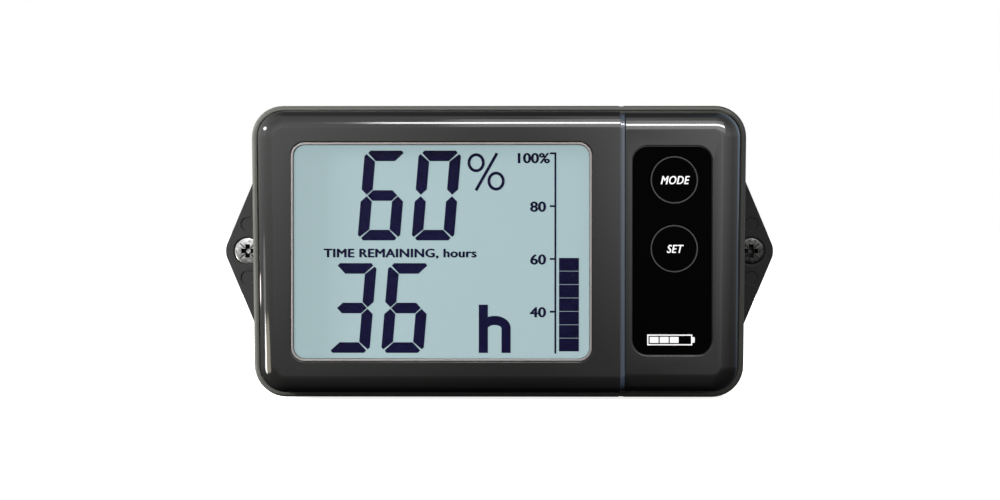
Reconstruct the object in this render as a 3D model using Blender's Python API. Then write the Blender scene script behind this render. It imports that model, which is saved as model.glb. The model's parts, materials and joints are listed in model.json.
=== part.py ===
"""Battery monitor display head: a gloss housing clipped to a hexagonal wall plate.

The pieces are modelled as if the unit lay on its back: x to the right, y up the face and z out of the
wall, with z = 0 at the wall. One empty, panel_frame, stands them up, so that in the world the face looks
along -Y, +Z is up and the wall is the plane y = 0. Lengths are in millimetres times MM.
"""

import math

import bmesh
import bpy
from mathutils import Matrix

MM = 0.001

# --- Driving dimensions -------------------------------------------------------------------------
BODY_WIDTH = 126 * MM
BODY_HEIGHT = 74 * MM
BODY_CORNER = 8 * MM
BODY_TAPER = 0.8 * MM  # each side comes in this far from the top of the face to the bottom
FRONT_Z = 25 * MM
SHOULDER = 1.5 * MM  # the rear housing stands this far outside the front covers
SIDE_STEP = 0.8 * MM  # and this much further out on the left and the right
GAP = 0.3 * MM  # between pieces that touch
FILM_GAP = 0.2 * MM  # between the thin layers of the display

# Wall plate and its screws
PLATE_THICKNESS = 3 * MM
EAR_TIP_X = 71 * MM
PLATE_SHOULDER_X = 57.7 * MM
PLATE_SHOULDER_Y = 31.5 * MM
PLATE_CORNER = 2 * MM
EAR_MARK_Y = 6.9 * MM
EAR_MARK_R = 1.7 * MM
EAR_MARK_DEPTH = 0.2 * MM
WALL_SCREW_X = 64.9 * MM
WALL_SCREW_HEAD_R = 3.3 * MM
WALL_SCREW_R = 1.75 * MM
WALL_SCREW_CLEARANCE = 0.35 * MM
WALL_SCREW_LENGTH = 16 * MM
WALL_SCREW_POINT = 2 * MM
WALL_SCREW_SUNK = 0.05 * MM
RECESS_LENGTH = 3.6 * MM
RECESS_WIDTH = 0.9 * MM
RECESS_DEPTH = 1.4 * MM
CABLE_HOLE_WIDTH = 30 * MM
CABLE_HOLE_HEIGHT = 20 * MM
CABLE_HOLE_CORNER = 2 * MM
HOOK_XY = [(-38 * MM, 22 * MM), (38 * MM, 22 * MM), (-38 * MM, -22 * MM), (38 * MM, -22 * MM)]
HOOK_WIDTH = 7 * MM
HOOK_THICKNESS = 1.5 * MM
HOOK_LIP = 1.2 * MM
HOOK_CLEARANCE = 0.45 * MM

# Rear housing
BACK_Z = PLATE_THICKNESS + GAP
BACK_WALL = 2 * MM
RIM_Z = 12 * MM
RIM_WIDTH = 3 * MM
RIM_ROUNDING = 0.9 * MM
SHADOW_GAP = 0.35 * MM  # the groove in the rim that follows the covers' edge
SHADOW_GAP_DEPTH = 0.6 * MM
SHADOW_GAP_STEP = 0.2 * MM  # the groove lies this much further in on the left and the right
SEAL_THICKNESS = 0.6 * MM
SEAL_INSET = 0.1 * MM  # the seal ends this far short of the rim's inner face
SEAL_STEP = SIDE_STEP - GAP
BOARD_POST_R = 1.8 * MM
BOARD_POST_XY = [(-48 * MM, 20 * MM), (-48 * MM, -20 * MM), (52 * MM, 18 * MM), (52 * MM, -18 * MM)]

# Front covers
COVER_Z = 13 * MM
COVER_FILLET = 4.2 * MM
CAP_FILLET = 4.55 * MM
COVER_DRAFT = 0.5 * MM
CAVITY_FILLET = 3 * MM
COVER_WALL = 2.5 * MM
BEZEL_FRONT_WALL = 2.2 * MM
SEAM_X = 30.5 * MM  # the display bezel's surface ends here
SEAM_LIP = 0.85 * MM
SEAM_LIP_DROP = 0.8 * MM
SEAM_GROOVE_DEPTH = 0.4 * MM  # the seam's line goes on over the rear housing's rim as a groove
CAP_X = SEAM_X + SEAM_LIP + GAP
CAP_DROP = 0.25 * MM  # the end cap is this much smaller all round than the bezel
CAP_FRONT_WALL = 2.8 * MM
SEAM_WALL = 1.5 * MM
SEAM_WALL_Z = 14.5 * MM  # the seam walls stop here, above the circuit board
SKIRT_WALL = 1.3 * MM
SKIRT_Z = 10.5 * MM
SKIRT_TOP_Z = 15 * MM

# Bosses and screws that hold the covers on
BOSS_XY = [
    (-55.6 * MM, 30.4 * MM), (28 * MM, 30.4 * MM), (47.2 * MM, 30.4 * MM),
    (-55.6 * MM, -30.4 * MM), (28 * MM, -30.4 * MM), (47.2 * MM, -30.4 * MM),
]
BOSS_R = 2.3 * MM
BOSS_CLEARANCE = 0.35 * MM
BOSS_Z = 9.8 * MM
PILLAR_R = 2.9 * MM
PILLAR_Z = BOSS_Z - GAP
COVER_SCREW_R = 1 * MM
COVER_SCREW_HEAD_R = 1.9 * MM
COVER_SCREW_HEAD = 1.4 * MM
COVER_RECESS_LENGTH = 2.2 * MM
COVER_RECESS_WIDTH = 0.6 * MM
COVER_RECESS_DEPTH = 0.8 * MM
COVER_SCREW_TOP_Z = 16 * MM
SCREW_SEAT_Z = 6 * MM

# Display window and the layers behind it
LCD_X = -14.1 * MM
LCD_Y = 0.08 * MM
WINDOW_WIDTH = 73 * MM
WINDOW_HEIGHT = 52.54 * MM
WINDOW_CORNER = 2.4 * MM
TRIM_MARGIN = 0.42 * MM  # between the window and the trim ring around it
TRIM_WIDTH = 0.5 * MM
TRIM_THICKNESS = 0.6 * MM
TRIM_PROUD = 0.1 * MM
WINDOW_FRONT_Z = 24.3 * MM
WINDOW_STEP_Z = 22.1 * MM
WINDOW_BACK_Z = 21 * MM
WINDOW_FLANGE = 2.6 * MM
WINDOW_FLANGE_CORNER = 3 * MM
TAPE_THICKNESS = 0.3 * MM
GLASS_WIDTH = 77 * MM
GLASS_TOP_Y = 28.4 * MM
FRONT_GLASS_BOTTOM_Y = -30.6 * MM
REAR_GLASS_BOTTOM_Y = -27.8 * MM
GLASS_THICKNESS = 1.1 * MM
FILM_THICKNESS = 0.2 * MM
HOLDER_LEDGE_Z = 17 * MM
HOLDER_TOP_Z = 20.5 * MM
HOLDER_WALL = 1.2 * MM
HOLDER_LEDGE = 1.25 * MM
HOLDER_EAR_X = 41 * MM
HOLDER_EAR_Y = 14 * MM
HOLDER_EAR_R = 1.7 * MM
HOLDER_EAR_BORE_R = 0.9 * MM
ZEBRA_WALL_GAP = 0.1 * MM
DIFFUSER_THICKNESS = 2 * MM
ZEBRA_LENGTH = 72 * MM
ZEBRA_THICKNESS = 2 * MM
LED_WIDTH = 3.5 * MM
LED_HEIGHT = 2.8 * MM
LED_THICKNESS = 1.4 * MM
LED_XY = [(-26 * MM, 13 * MM), (26 * MM, 13 * MM), (-26 * MM, -13 * MM), (26 * MM, -13 * MM)]

# Circuit board
BOARD_Z = 11.2 * MM
BOARD_THICKNESS = 1.6 * MM
BOARD_LEFT_X = -56.5 * MM
BOARD_RIGHT_X = 57 * MM
BOARD_HALF_HEIGHT = 30.5 * MM
BOARD_CORNER = 2 * MM
BOARD_SCREW_R = 0.65 * MM
BOARD_SCREW_HEAD_R = 1.5 * MM
BOARD_SCREW_HEAD = 1.1 * MM
BOARD_SCREW_HOLE_R = 1.1 * MM
CHIPS = {
    # name: (width, height, thickness, x, y)
    "microcontroller": (12 * MM, 12 * MM, 1.4 * MM, -20 * MM, 6 * MM),
    "shunt_amplifier": (5 * MM, 4 * MM, 1.5 * MM, 4 * MM, 8 * MM),
    "voltage_regulator": (6.6 * MM, 6.1 * MM, 2.3 * MM, 33 * MM, 10 * MM),
}
CRYSTAL = (11 * MM, 4.5 * MM, 3.5 * MM, -20 * MM, -9 * MM)  # as above
CAPACITOR_XY = (44 * MM, 2 * MM)
CAPACITOR_R = 3.15 * MM
CAPACITOR_HEIGHT = 4.6 * MM
CAPACITOR_BASE = 1.2 * MM
SOCKET_X = 14 * MM
SOCKET_Y = -15 * MM
SOCKET_WIDTH = 19.2 * MM
SOCKET_HEIGHT = 11 * MM
SOCKET_WALL = 1.25 * MM
SOCKET_FLOOR = 1.3 * MM
SOCKET_MOUTH_Z = 3.6 * MM
PIN_PITCH = 3.96 * MM
PIN_Y = -2.3 * MM  # from the middle of the socket
PIN_SIDE = 1.1 * MM
PIN_SHORT = 1 * MM  # the pins end this far inside the mouth

# Key panel
KEY_X = 43.8 * MM
KEY_Y = {"upper": 18 * MM, "lower": 0.9 * MM}
PANEL_X = 43.3 * MM
PANEL_Y = 0.4 * MM
PANEL_WIDTH = 19.6 * MM
PANEL_HEIGHT = 51.8 * MM
PANEL_CORNER = 3.7 * MM
PANEL_FRONT_Z = 24.6 * MM
PANEL_THICKNESS = 1 * MM
PANEL_GAP = 0.2 * MM  # around the panel in its recess
ADHESIVE_THICKNESS = 0.2 * MM
ADHESIVE_GAP = 0.1 * MM
ADHESIVE_INSET = 1 * MM
ADHESIVE_HOLE = 0.6 * MM  # larger than the keys by this much
KEY_R = 5.93 * MM
KEY_CLEARANCE = 0.2 * MM
KEY_FLANGE_R = 7.2 * MM
KEY_FLANGE_THICKNESS = 1.1 * MM
KEY_PLUNGER_R = 1.7 * MM
SWITCH_SIDE = 6 * MM
SWITCH_TOP_Z = 16.6 * MM
SWITCH_FLOOR_Z = 13.7 * MM
DOME_GAP = 0.1 * MM
DOME_HEIGHT = 0.2 * MM
STEM_R = 1.75 * MM
STEM_BOTTOM_Z = 14.6 * MM
STEM_TOP_Z = 18.4 * MM

OUT = 1 * MM  # how far a cutter runs past the piece it cuts


# --- Scene ---------------------------------------------------------------------------------------
def empty_scene():
    """Remove what the file holds and return the collections for the pieces and for their cutters."""
    for obj in list(bpy.data.objects):
        bpy.data.objects.remove(obj, do_unlink=True)
    pieces = bpy.data.collections.new("battery_monitor_display")
    cutters = bpy.data.collections.new("cutters")
    for collection in (pieces, cutters):
        bpy.context.scene.collection.children.link(collection)
    return pieces, cutters


PIECES, CUTTERS = empty_scene()
PANEL_FRAME = bpy.data.objects.new("panel_frame", None)
PANEL_FRAME.rotation_euler.x = math.radians(90)
PIECES.objects.link(PANEL_FRAME)

FINISHES = {
    # name: (colour, roughness, metallic)
    "housing": ((0.050, 0.049, 0.047), 0.28, 0.0),
    "rear_plastic": ((0.035, 0.035, 0.034), 0.45, 0.0),
    "plate_plastic": ((0.020, 0.020, 0.020), 0.55, 0.0),
    "rubber": ((0.010, 0.010, 0.010), 0.85, 0.0),
    "clear_window": ((0.80, 0.88, 0.90), 0.03, 0.0),
    "glass": ((0.62, 0.72, 0.74), 0.05, 0.0),
    "film": ((0.36, 0.50, 0.53), 0.35, 0.0),
    "white_plastic": ((0.80, 0.80, 0.78), 0.40, 0.0),
    "board": ((0.015, 0.120, 0.050), 0.40, 0.0),
    "chip": ((0.012, 0.012, 0.013), 0.50, 0.0),
    "key_gloss": ((0.003, 0.003, 0.003), 0.12, 0.0),
    "bright_steel": ((0.62, 0.61, 0.58), 0.28, 1.0),
    "tin": ((0.66, 0.64, 0.58), 0.30, 1.0),
    "trim_silver": ((0.36, 0.33, 0.31), 0.35, 0.0),
    "tape": ((0.030, 0.030, 0.030), 0.70, 0.0),
}


def finish(name):
    """The named Principled material, made the first time it is asked for."""
    found = bpy.data.materials.get(name)
    if found:
        return found
    colour, roughness, metallic = FINISHES[name]
    made = bpy.data.materials.new(name)
    made.use_nodes = True
    shader = made.node_tree.nodes["Principled BSDF"]
    shader.inputs["Base Color"].default_value = (*colour, 1)
    shader.inputs["Roughness"].default_value = roughness
    shader.inputs["Metallic"].default_value = metallic
    made.diffuse_color = (*colour, 1)
    return made


# --- Shapes --------------------------------------------------------------------------------------
def mesh_from(bm):
    mesh = bpy.data.meshes.new("shape")
    bmesh.ops.recalc_face_normals(bm, faces=bm.faces)
    bm.to_mesh(mesh)
    bm.free()
    return mesh


def box_bmesh(width, height, z0, z1, x=0, y=0):
    bm = bmesh.new()
    place = Matrix.Translation((x, y, (z0 + z1) / 2)) @ Matrix.Diagonal((width, height, z1 - z0, 1))
    bmesh.ops.create_cube(bm, size=1, matrix=place)
    return bm


def box(width, height, z0, z1, x=0, y=0):
    return mesh_from(box_bmesh(width, height, z0, z1, x, y))


def span(x0, x1, y0, y1, z0, z1):
    """A box given by its two corners."""
    return box(x1 - x0, y1 - y0, z0, z1, (x0 + x1) / 2, (y0 + y1) / 2)


def round_upright_edges(bm, radius, segments):
    """Round the edges that run along z."""
    upright = [e for e in bm.edges if (e.verts[0].co - e.verts[1].co).xy.length < 1e-7]
    bmesh.ops.bevel(
        bm, geom=upright, offset=radius, segments=segments, profile=0.5, affect="EDGES",
        clamp_overlap=False,
    )


def rounded(width, height, z0, z1, radius, x=0, y=0, segments=5):
    """A plate with round corners."""
    bm = box_bmesh(width, height, z0, z1)
    round_upright_edges(bm, radius, segments)
    bmesh.ops.translate(bm, vec=(x, y, 0), verts=bm.verts)
    return mesh_from(bm)


def body_outline(inset, z0, z1, fillet=0, draft=0, segments=5, step=0):
    """The body's tapered outline, moved in by inset, as a plate.

    Step moves the left and right sides further in. Draft narrows the front face, and fillet rounds the
    front edge over like a pillow's upper half.
    """
    width = BODY_WIDTH - 2 * (inset + step)
    height = BODY_HEIGHT - 2 * inset
    bm = box_bmesh(width, height, z0, z1)
    for corner in bm.verts:
        if corner.co.y < 0:
            corner.co.x -= math.copysign(BODY_TAPER, corner.co.x)
    round_upright_edges(bm, BODY_CORNER - inset, segments)
    front = [v for v in bm.verts if v.co.z > (z0 + z1) / 2]
    bmesh.ops.scale(bm, vec=(1 - 2 * draft / width, 1 - 2 * draft / height, 1), verts=front)
    if fillet:
        edges = [e for e in bm.edges if all(v.co.z > z1 - 1e-7 for v in e.verts)]
        bmesh.ops.bevel(
            bm, geom=edges, offset=fillet, segments=segments, profile=0.5, affect="EDGES",
            clamp_overlap=False,
        )
    return mesh_from(bm)


def disc(radius, z0, z1, x=0, y=0, front_radius=None, segments=20):
    """A cylinder along z, or a cone frustum if the front radius differs."""
    bm = bmesh.new()
    bmesh.ops.create_cone(
        bm, cap_ends=True, segments=segments, radius1=radius,
        radius2=radius if front_radius is None else front_radius, depth=z1 - z0,
        matrix=Matrix.Translation((x, y, (z0 + z1) / 2)),
    )
    return mesh_from(bm)


def flat_outline(points, z0, z1, radius, segments=4):
    """An outline drawn as a 2D curve, extruded from z0 to z1, with its corners rounded."""
    curve = bpy.data.curves.new("outline", "CURVE")
    curve.dimensions = "2D"
    curve.fill_mode = "BOTH"
    curve.extrude = (z1 - z0) / 2
    line = curve.splines.new("POLY")
    line.points.add(len(points) - 1)
    line.use_cyclic_u = True
    for point, (x, y) in zip(line.points, points):
        point.co = (x, y, 0, 1)
    drawn = bpy.data.objects.new("outline", curve)
    bpy.context.scene.collection.objects.link(drawn)
    bpy.context.view_layer.update()
    evaluated = drawn.evaluated_get(bpy.context.evaluated_depsgraph_get())
    flat = bpy.data.meshes.new_from_object(evaluated)
    bpy.data.objects.remove(drawn)
    bm = bmesh.new()
    bm.from_mesh(flat)
    bmesh.ops.remove_doubles(bm, verts=bm.verts, dist=1e-6)
    bmesh.ops.dissolve_limit(bm, angle_limit=0.01, verts=bm.verts, edges=bm.edges)
    round_upright_edges(bm, radius, segments)
    bmesh.ops.translate(bm, vec=(0, 0, (z0 + z1) / 2), verts=bm.verts)
    return mesh_from(bm)


# --- Pieces and Booleans ---------------------------------------------------------------------------
def stand_up(obj, collection):
    collection.objects.link(obj)
    obj.parent = PANEL_FRAME
    return obj


def piece(name, mesh, look):
    """A named piece of the object, smooth on its rounded faces."""
    mesh.name = name
    if not mesh.materials:
        mesh.materials.append(finish(look))
    mesh.shade_smooth()
    mesh.set_sharp_from_angle(angle=math.radians(35))
    return stand_up(bpy.data.objects.new(name, mesh), PIECES)


def helper(mesh):
    """A shape used only by Booleans: a cutter, or what is added to a piece."""
    obj = stand_up(bpy.data.objects.new("helper", mesh), CUTTERS)
    obj.hide_render = True
    obj.display_type = "WIRE"
    return obj


def boolean(obj, other, operation):
    modifier = obj.modifiers.new(operation.lower(), "BOOLEAN")
    modifier.operation = operation
    modifier.object = other if isinstance(other, bpy.types.Object) else helper(other)
    return obj


def cut(obj, *others):
    for other in others:
        boolean(obj, other, "DIFFERENCE")
    return obj


def join(obj, *others):
    for other in others:
        boolean(obj, other, "UNION")
    return obj


def keep_inside(obj, other):
    return boolean(obj, other, "INTERSECT")


# --- Wall plate ------------------------------------------------------------------------------------
def hook(x, y):
    """A tab on the wall plate whose lip catches behind the rear housing's back wall."""
    out = math.copysign(1, y)
    lip_z = BACK_Z + BACK_WALL + GAP
    tab = helper(box(HOOK_WIDTH, HOOK_THICKNESS, PLATE_THICKNESS - OUT, lip_z + HOOK_LIP, x, y))
    lip_height = HOOK_THICKNESS + HOOK_LIP
    lip = box(HOOK_WIDTH, lip_height, lip_z, lip_z + HOOK_LIP, x, y + out * HOOK_LIP / 2)
    return join(tab, lip)


def build_wall_plate():
    outline = [
        (EAR_TIP_X, 0), (PLATE_SHOULDER_X, PLATE_SHOULDER_Y), (-PLATE_SHOULDER_X, PLATE_SHOULDER_Y),
        (-EAR_TIP_X, 0), (-PLATE_SHOULDER_X, -PLATE_SHOULDER_Y), (PLATE_SHOULDER_X, -PLATE_SHOULDER_Y),
    ]
    plate = piece("wall_plate", flat_outline(outline, 0, PLATE_THICKNESS, PLATE_CORNER), "plate_plastic")
    hole_r = WALL_SCREW_R + WALL_SCREW_CLEARANCE
    sink_r = WALL_SCREW_HEAD_R + WALL_SCREW_CLEARANCE
    for x in (-WALL_SCREW_X, WALL_SCREW_X):
        sink_z = PLATE_THICKNESS - (sink_r - hole_r)
        cut(plate, disc(hole_r, -OUT, PLATE_THICKNESS, x, segments=24))
        cut(plate, disc(hole_r, sink_z, PLATE_THICKNESS, x, front_radius=sink_r, segments=24))
        for y in (EAR_MARK_Y, -EAR_MARK_Y):
            cut(plate, disc(EAR_MARK_R, PLATE_THICKNESS - EAR_MARK_DEPTH, PLATE_THICKNESS + OUT, x, y))
    cut(plate, rounded(
        CABLE_HOLE_WIDTH, CABLE_HOLE_HEIGHT, -OUT, PLATE_THICKNESS + OUT, CABLE_HOLE_CORNER,
        SOCKET_X, SOCKET_Y,
    ))
    join(plate, *[hook(x, y) for x, y in HOOK_XY])


def build_wall_screw(name, x):
    """A countersunk cross-recess screw with a plain shank and a point."""
    head_z = PLATE_THICKNESS - WALL_SCREW_SUNK
    neck_z = head_z - (WALL_SCREW_HEAD_R - WALL_SCREW_R)
    point_z = head_z - WALL_SCREW_LENGTH
    shank_z = point_z + WALL_SCREW_POINT
    head = disc(WALL_SCREW_R, neck_z, head_z, x, front_radius=WALL_SCREW_HEAD_R, segments=24)
    screw = piece(name, head, "bright_steel")
    join(screw, disc(WALL_SCREW_R, shank_z, neck_z + OUT / 2, x, segments=16))
    tip_r = 0.1 * WALL_SCREW_R
    point = disc(tip_r, point_z, shank_z + OUT / 4, x, front_radius=0.9 * WALL_SCREW_R, segments=16)
    join(screw, point)
    for width, height in ((RECESS_LENGTH, RECESS_WIDTH), (RECESS_WIDTH, RECESS_LENGTH)):
        cut(screw, box(width, height, head_z - RECESS_DEPTH, head_z + OUT, x))


# --- Rear housing ----------------------------------------------------------------------------------
def build_rear_housing():
    housing = piece("rear_housing", body_outline(0, BACK_Z, RIM_Z, RIM_ROUNDING), "rear_plastic")
    floor_z = BACK_Z + BACK_WALL
    cut(housing, body_outline(RIM_WIDTH, floor_z, RIM_Z + OUT))
    groove_z = RIM_Z - SHADOW_GAP_DEPTH
    step = SHADOW_GAP_STEP
    groove = helper(body_outline(SHOULDER - SHADOW_GAP, groove_z, RIM_Z + OUT, step=step))
    island = body_outline(SHOULDER + SHADOW_GAP, groove_z - OUT, RIM_Z + 2 * OUT, step=step)
    cut(housing, cut(groove, island))
    for side in (-1, 1):
        y = side * BODY_HEIGHT / 2
        middle = (SEAM_X + CAP_X) / 2
        cut(housing, box(CAP_X - SEAM_X, 2 * SEAM_GROOVE_DEPTH, BACK_Z + BACK_WALL, RIM_Z + OUT, middle, y))
    for x, y in BOSS_XY:
        join(housing, disc(PILLAR_R, floor_z - OUT, PILLAR_Z, x, y, segments=16))
        cut(housing, disc(COVER_SCREW_R + GAP, BACK_Z - OUT, PILLAR_Z + OUT, x, y, segments=12))
        cut(housing, disc(COVER_SCREW_HEAD_R + GAP, BACK_Z - OUT, SCREW_SEAT_Z, x, y, segments=16))
    for x, y in BOARD_POST_XY:
        join(housing, disc(BOARD_POST_R, floor_z - OUT, BOARD_Z - GAP, x, y, segments=12))
    for x, y in HOOK_XY:
        width = HOOK_WIDTH + 2 * HOOK_CLEARANCE
        height = HOOK_THICKNESS + 2 * HOOK_CLEARANCE
        cut(housing, box(width, height, BACK_Z - OUT, floor_z + OUT, x, y))
    width = SOCKET_WIDTH + 2 * GAP
    height = SOCKET_HEIGHT + 2 * GAP
    cut(housing, box(width, height, BACK_Z - OUT, floor_z + OUT, SOCKET_X, SOCKET_Y))


def build_housing_seal():
    """The rubber ring between the rim and the covers, seen as a dark line around the housing."""
    z0 = RIM_Z + FILM_GAP
    ring = body_outline(SHOULDER + GAP, z0, z0 + SEAL_THICKNESS, step=SEAL_STEP)
    cut(piece("housing_seal", ring, "rubber"), body_outline(RIM_WIDTH - SEAL_INSET, z0 - OUT, z0 + OUT))


# --- Front covers ----------------------------------------------------------------------------------
def cavity(front_wall, wall_x0, wall_x1):
    """The hollow of a cover, less the wall that closes the cover at the seam."""
    inset = SHOULDER + COVER_WALL
    top = FRONT_Z - front_wall
    hollow = helper(body_outline(inset, SKIRT_Z - OUT, top, CAVITY_FILLET, COVER_DRAFT, 4, SIDE_STEP))
    return cut(hollow, span(wall_x0, wall_x1, -BODY_HEIGHT, BODY_HEIGHT, SEAM_WALL_Z, FRONT_Z + OUT))


def skirt():
    """The thin wall inside both covers that drops into the rear housing's rim."""
    inset = RIM_WIDTH + GAP
    wall = helper(body_outline(inset, SKIRT_Z, SKIRT_TOP_Z, segments=4))
    return cut(wall, body_outline(inset + SKIRT_WALL, SKIRT_Z - OUT, SKIRT_TOP_Z + OUT, segments=4))


def add_bosses(cover, places, inner_z):
    """Bosses that rise from the cover's inner face, bored for the cover screws."""
    for x, y in places:
        join(cover, disc(BOSS_R, BOSS_Z, inner_z + OUT / 2, x, y, segments=16))
        cut(cover, disc(COVER_SCREW_R + GAP, BOSS_Z - OUT, COVER_SCREW_TOP_Z + OUT, x, y, segments=12))


def build_display_bezel():
    shape = body_outline(SHOULDER, COVER_Z, FRONT_Z, COVER_FILLET, COVER_DRAFT, 6, SIDE_STEP)
    bezel = piece("display_bezel", shape, "housing")
    far = BODY_WIDTH
    keep_inside(bezel, span(-far, SEAM_X, -far, far, 0, far))
    inset = SHOULDER + SEAM_LIP_DROP
    lip_z = FRONT_Z - SEAM_LIP_DROP
    fillet = COVER_FILLET - SEAM_LIP_DROP
    lip = helper(body_outline(inset, COVER_Z, lip_z, fillet, COVER_DRAFT, 6, SIDE_STEP))
    keep_inside(lip, span(SEAM_X - 2 * SEAM_WALL, SEAM_X + SEAM_LIP, -far, far, 0, far))
    join(bezel, lip)
    cut(bezel, cavity(BEZEL_FRONT_WALL, SEAM_X - SEAM_WALL, far))
    join(bezel, keep_inside(skirt(), span(-far, SEAM_X, -far, far, 0, far)))
    inner_z = FRONT_Z - BEZEL_FRONT_WALL
    add_bosses(bezel, [place for place in BOSS_XY if place[0] < SEAM_X], inner_z)
    width = WINDOW_WIDTH + 2 * GAP
    height = WINDOW_HEIGHT + 2 * GAP
    cut(bezel, rounded(width, height, SKIRT_TOP_Z, FRONT_Z + OUT, WINDOW_CORNER + GAP, LCD_X, LCD_Y, 4))
    margin = TRIM_MARGIN + TRIM_WIDTH + FILM_GAP
    width = WINDOW_WIDTH + 2 * margin
    height = WINDOW_HEIGHT + 2 * margin
    seat_z = FRONT_Z + TRIM_PROUD - TRIM_THICKNESS - FILM_GAP
    cut(bezel, rounded(width, height, seat_z, FRONT_Z + OUT, WINDOW_CORNER + margin, LCD_X, LCD_Y))


def build_key_end_cap():
    front_z = FRONT_Z - CAP_DROP
    inset = SHOULDER + CAP_DROP
    shape = body_outline(inset, COVER_Z, front_z, CAP_FILLET, COVER_DRAFT, 6, SIDE_STEP)
    cap = piece("key_end_cap", shape, "housing")
    far = BODY_WIDTH
    keep_inside(cap, span(CAP_X, far, -far, far, 0, far))
    cut(cap, cavity(CAP_FRONT_WALL + CAP_DROP, 0, CAP_X + SEAM_WALL))
    join(cap, keep_inside(skirt(), span(CAP_X, far, -far, far, 0, far)))
    inner_z = FRONT_Z - CAP_FRONT_WALL - CAP_DROP
    add_bosses(cap, [place for place in BOSS_XY if place[0] > SEAM_X], inner_z)
    floor_z = PANEL_FRONT_Z - PANEL_THICKNESS - ADHESIVE_THICKNESS - 2 * ADHESIVE_GAP
    width = PANEL_WIDTH + 2 * PANEL_GAP
    height = PANEL_HEIGHT + 2 * PANEL_GAP
    corner = PANEL_CORNER + PANEL_GAP
    cut(cap, rounded(width, height, floor_z, FRONT_Z + OUT, corner, PANEL_X, PANEL_Y))
    for y in KEY_Y.values():
        cut(cap, disc(KEY_R + GAP, inner_z - OUT, floor_z + OUT, KEY_X, y, segments=32))


def build_cover_screws():
    """Pan-head screws from the back, through the rear housing into the covers' bosses."""
    for number, (x, y) in enumerate(BOSS_XY, 1):
        seat_z = SCREW_SEAT_Z - GAP
        head_z = seat_z - COVER_SCREW_HEAD
        head = disc(COVER_SCREW_HEAD_R, head_z, seat_z, x, y, segments=16)
        screw = piece(f"cover_screw_{number}", head, "bright_steel")
        join(screw, disc(COVER_SCREW_R, seat_z - OUT / 2, COVER_SCREW_TOP_Z, x, y, segments=12))
        for width, height in (
            (COVER_RECESS_LENGTH, COVER_RECESS_WIDTH), (COVER_RECESS_WIDTH, COVER_RECESS_LENGTH)
        ):
            cut(screw, box(width, height, head_z - OUT, head_z + COVER_RECESS_DEPTH, x, y))


def board_screw_places():
    return [
        (LCD_X + sign_x * HOLDER_EAR_X, sign_y * HOLDER_EAR_Y) for sign_y in (1, -1) for sign_x in (-1, 1)
    ]


# --- Display -----------------------------------------------------------------------------------------
def build_window():
    width = WINDOW_WIDTH + 2 * WINDOW_FLANGE
    height = WINDOW_HEIGHT + 2 * WINDOW_FLANGE
    flange = rounded(
        width, height, WINDOW_BACK_Z, WINDOW_STEP_Z, WINDOW_FLANGE_CORNER, LCD_X, LCD_Y, 4
    )
    window = piece("display_window", flange, "clear_window")
    raised = rounded(
        WINDOW_WIDTH, WINDOW_HEIGHT, WINDOW_STEP_Z - OUT / 2, WINDOW_FRONT_Z, WINDOW_CORNER,
        LCD_X, LCD_Y, 4,
    )
    join(window, raised)
    margin = TRIM_MARGIN + TRIM_WIDTH
    z0 = FRONT_Z + TRIM_PROUD - TRIM_THICKNESS
    shape = rounded(
        WINDOW_WIDTH + 2 * margin, WINDOW_HEIGHT + 2 * margin, z0, z0 + TRIM_THICKNESS,
        WINDOW_CORNER + margin, LCD_X, LCD_Y,
    )
    trim = piece("window_trim", shape, "trim_silver")
    margin = TRIM_MARGIN
    cut(trim, rounded(
        WINDOW_WIDTH + 2 * margin, WINDOW_HEIGHT + 2 * margin, z0 - OUT, z0 + TRIM_THICKNESS + OUT,
        WINDOW_CORNER + margin, LCD_X, LCD_Y,
    ))
    z0 = WINDOW_STEP_Z + FILM_GAP
    shape = rounded(width, height, z0, z0 + TAPE_THICKNESS, WINDOW_FLANGE_CORNER, LCD_X, LCD_Y, 4)
    tape = piece("window_tape", shape, "tape")
    inner = 3 * GAP
    hole = rounded(
        WINDOW_WIDTH + inner, WINDOW_HEIGHT + inner, z0 - OUT, z0 + OUT, WINDOW_CORNER, LCD_X, LCD_Y, 4
    )
    cut(tape, hole)


def layer(name, bottom_y, z0, thickness, look):
    """One flat layer of the display, as wide as its glass."""
    half = GLASS_WIDTH / 2
    mesh = span(LCD_X - half, LCD_X + half, bottom_y, GLASS_TOP_Y, z0, z0 + thickness)
    return piece(name, mesh, look)


def build_display_layers():
    """Rear polariser, rear glass, front glass and front polariser, stacked on the holder's ledge."""
    z = HOLDER_LEDGE_Z + FILM_GAP
    layer("lcd_rear_polariser", REAR_GLASS_BOTTOM_Y, z, FILM_THICKNESS, "film")
    z += FILM_THICKNESS + FILM_GAP
    layer("lcd_rear_glass", REAR_GLASS_BOTTOM_Y, z, GLASS_THICKNESS, "glass")
    z += GLASS_THICKNESS + FILM_GAP
    layer("lcd_front_glass", FRONT_GLASS_BOTTOM_Y, z, GLASS_THICKNESS, "glass")
    zebra_top_z = z - FILM_GAP
    z += GLASS_THICKNESS + FILM_GAP
    layer("lcd_front_polariser", REAR_GLASS_BOTTOM_Y, z, FILM_THICKNESS, "film")
    zebra_y = FRONT_GLASS_BOTTOM_Y + ZEBRA_WALL_GAP + ZEBRA_THICKNESS / 2
    board_front_z = BOARD_Z + BOARD_THICKNESS
    strip = box(ZEBRA_LENGTH, ZEBRA_THICKNESS, board_front_z + GAP, zebra_top_z, LCD_X, zebra_y)
    piece("zebra_strip", strip, "rubber")


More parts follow.
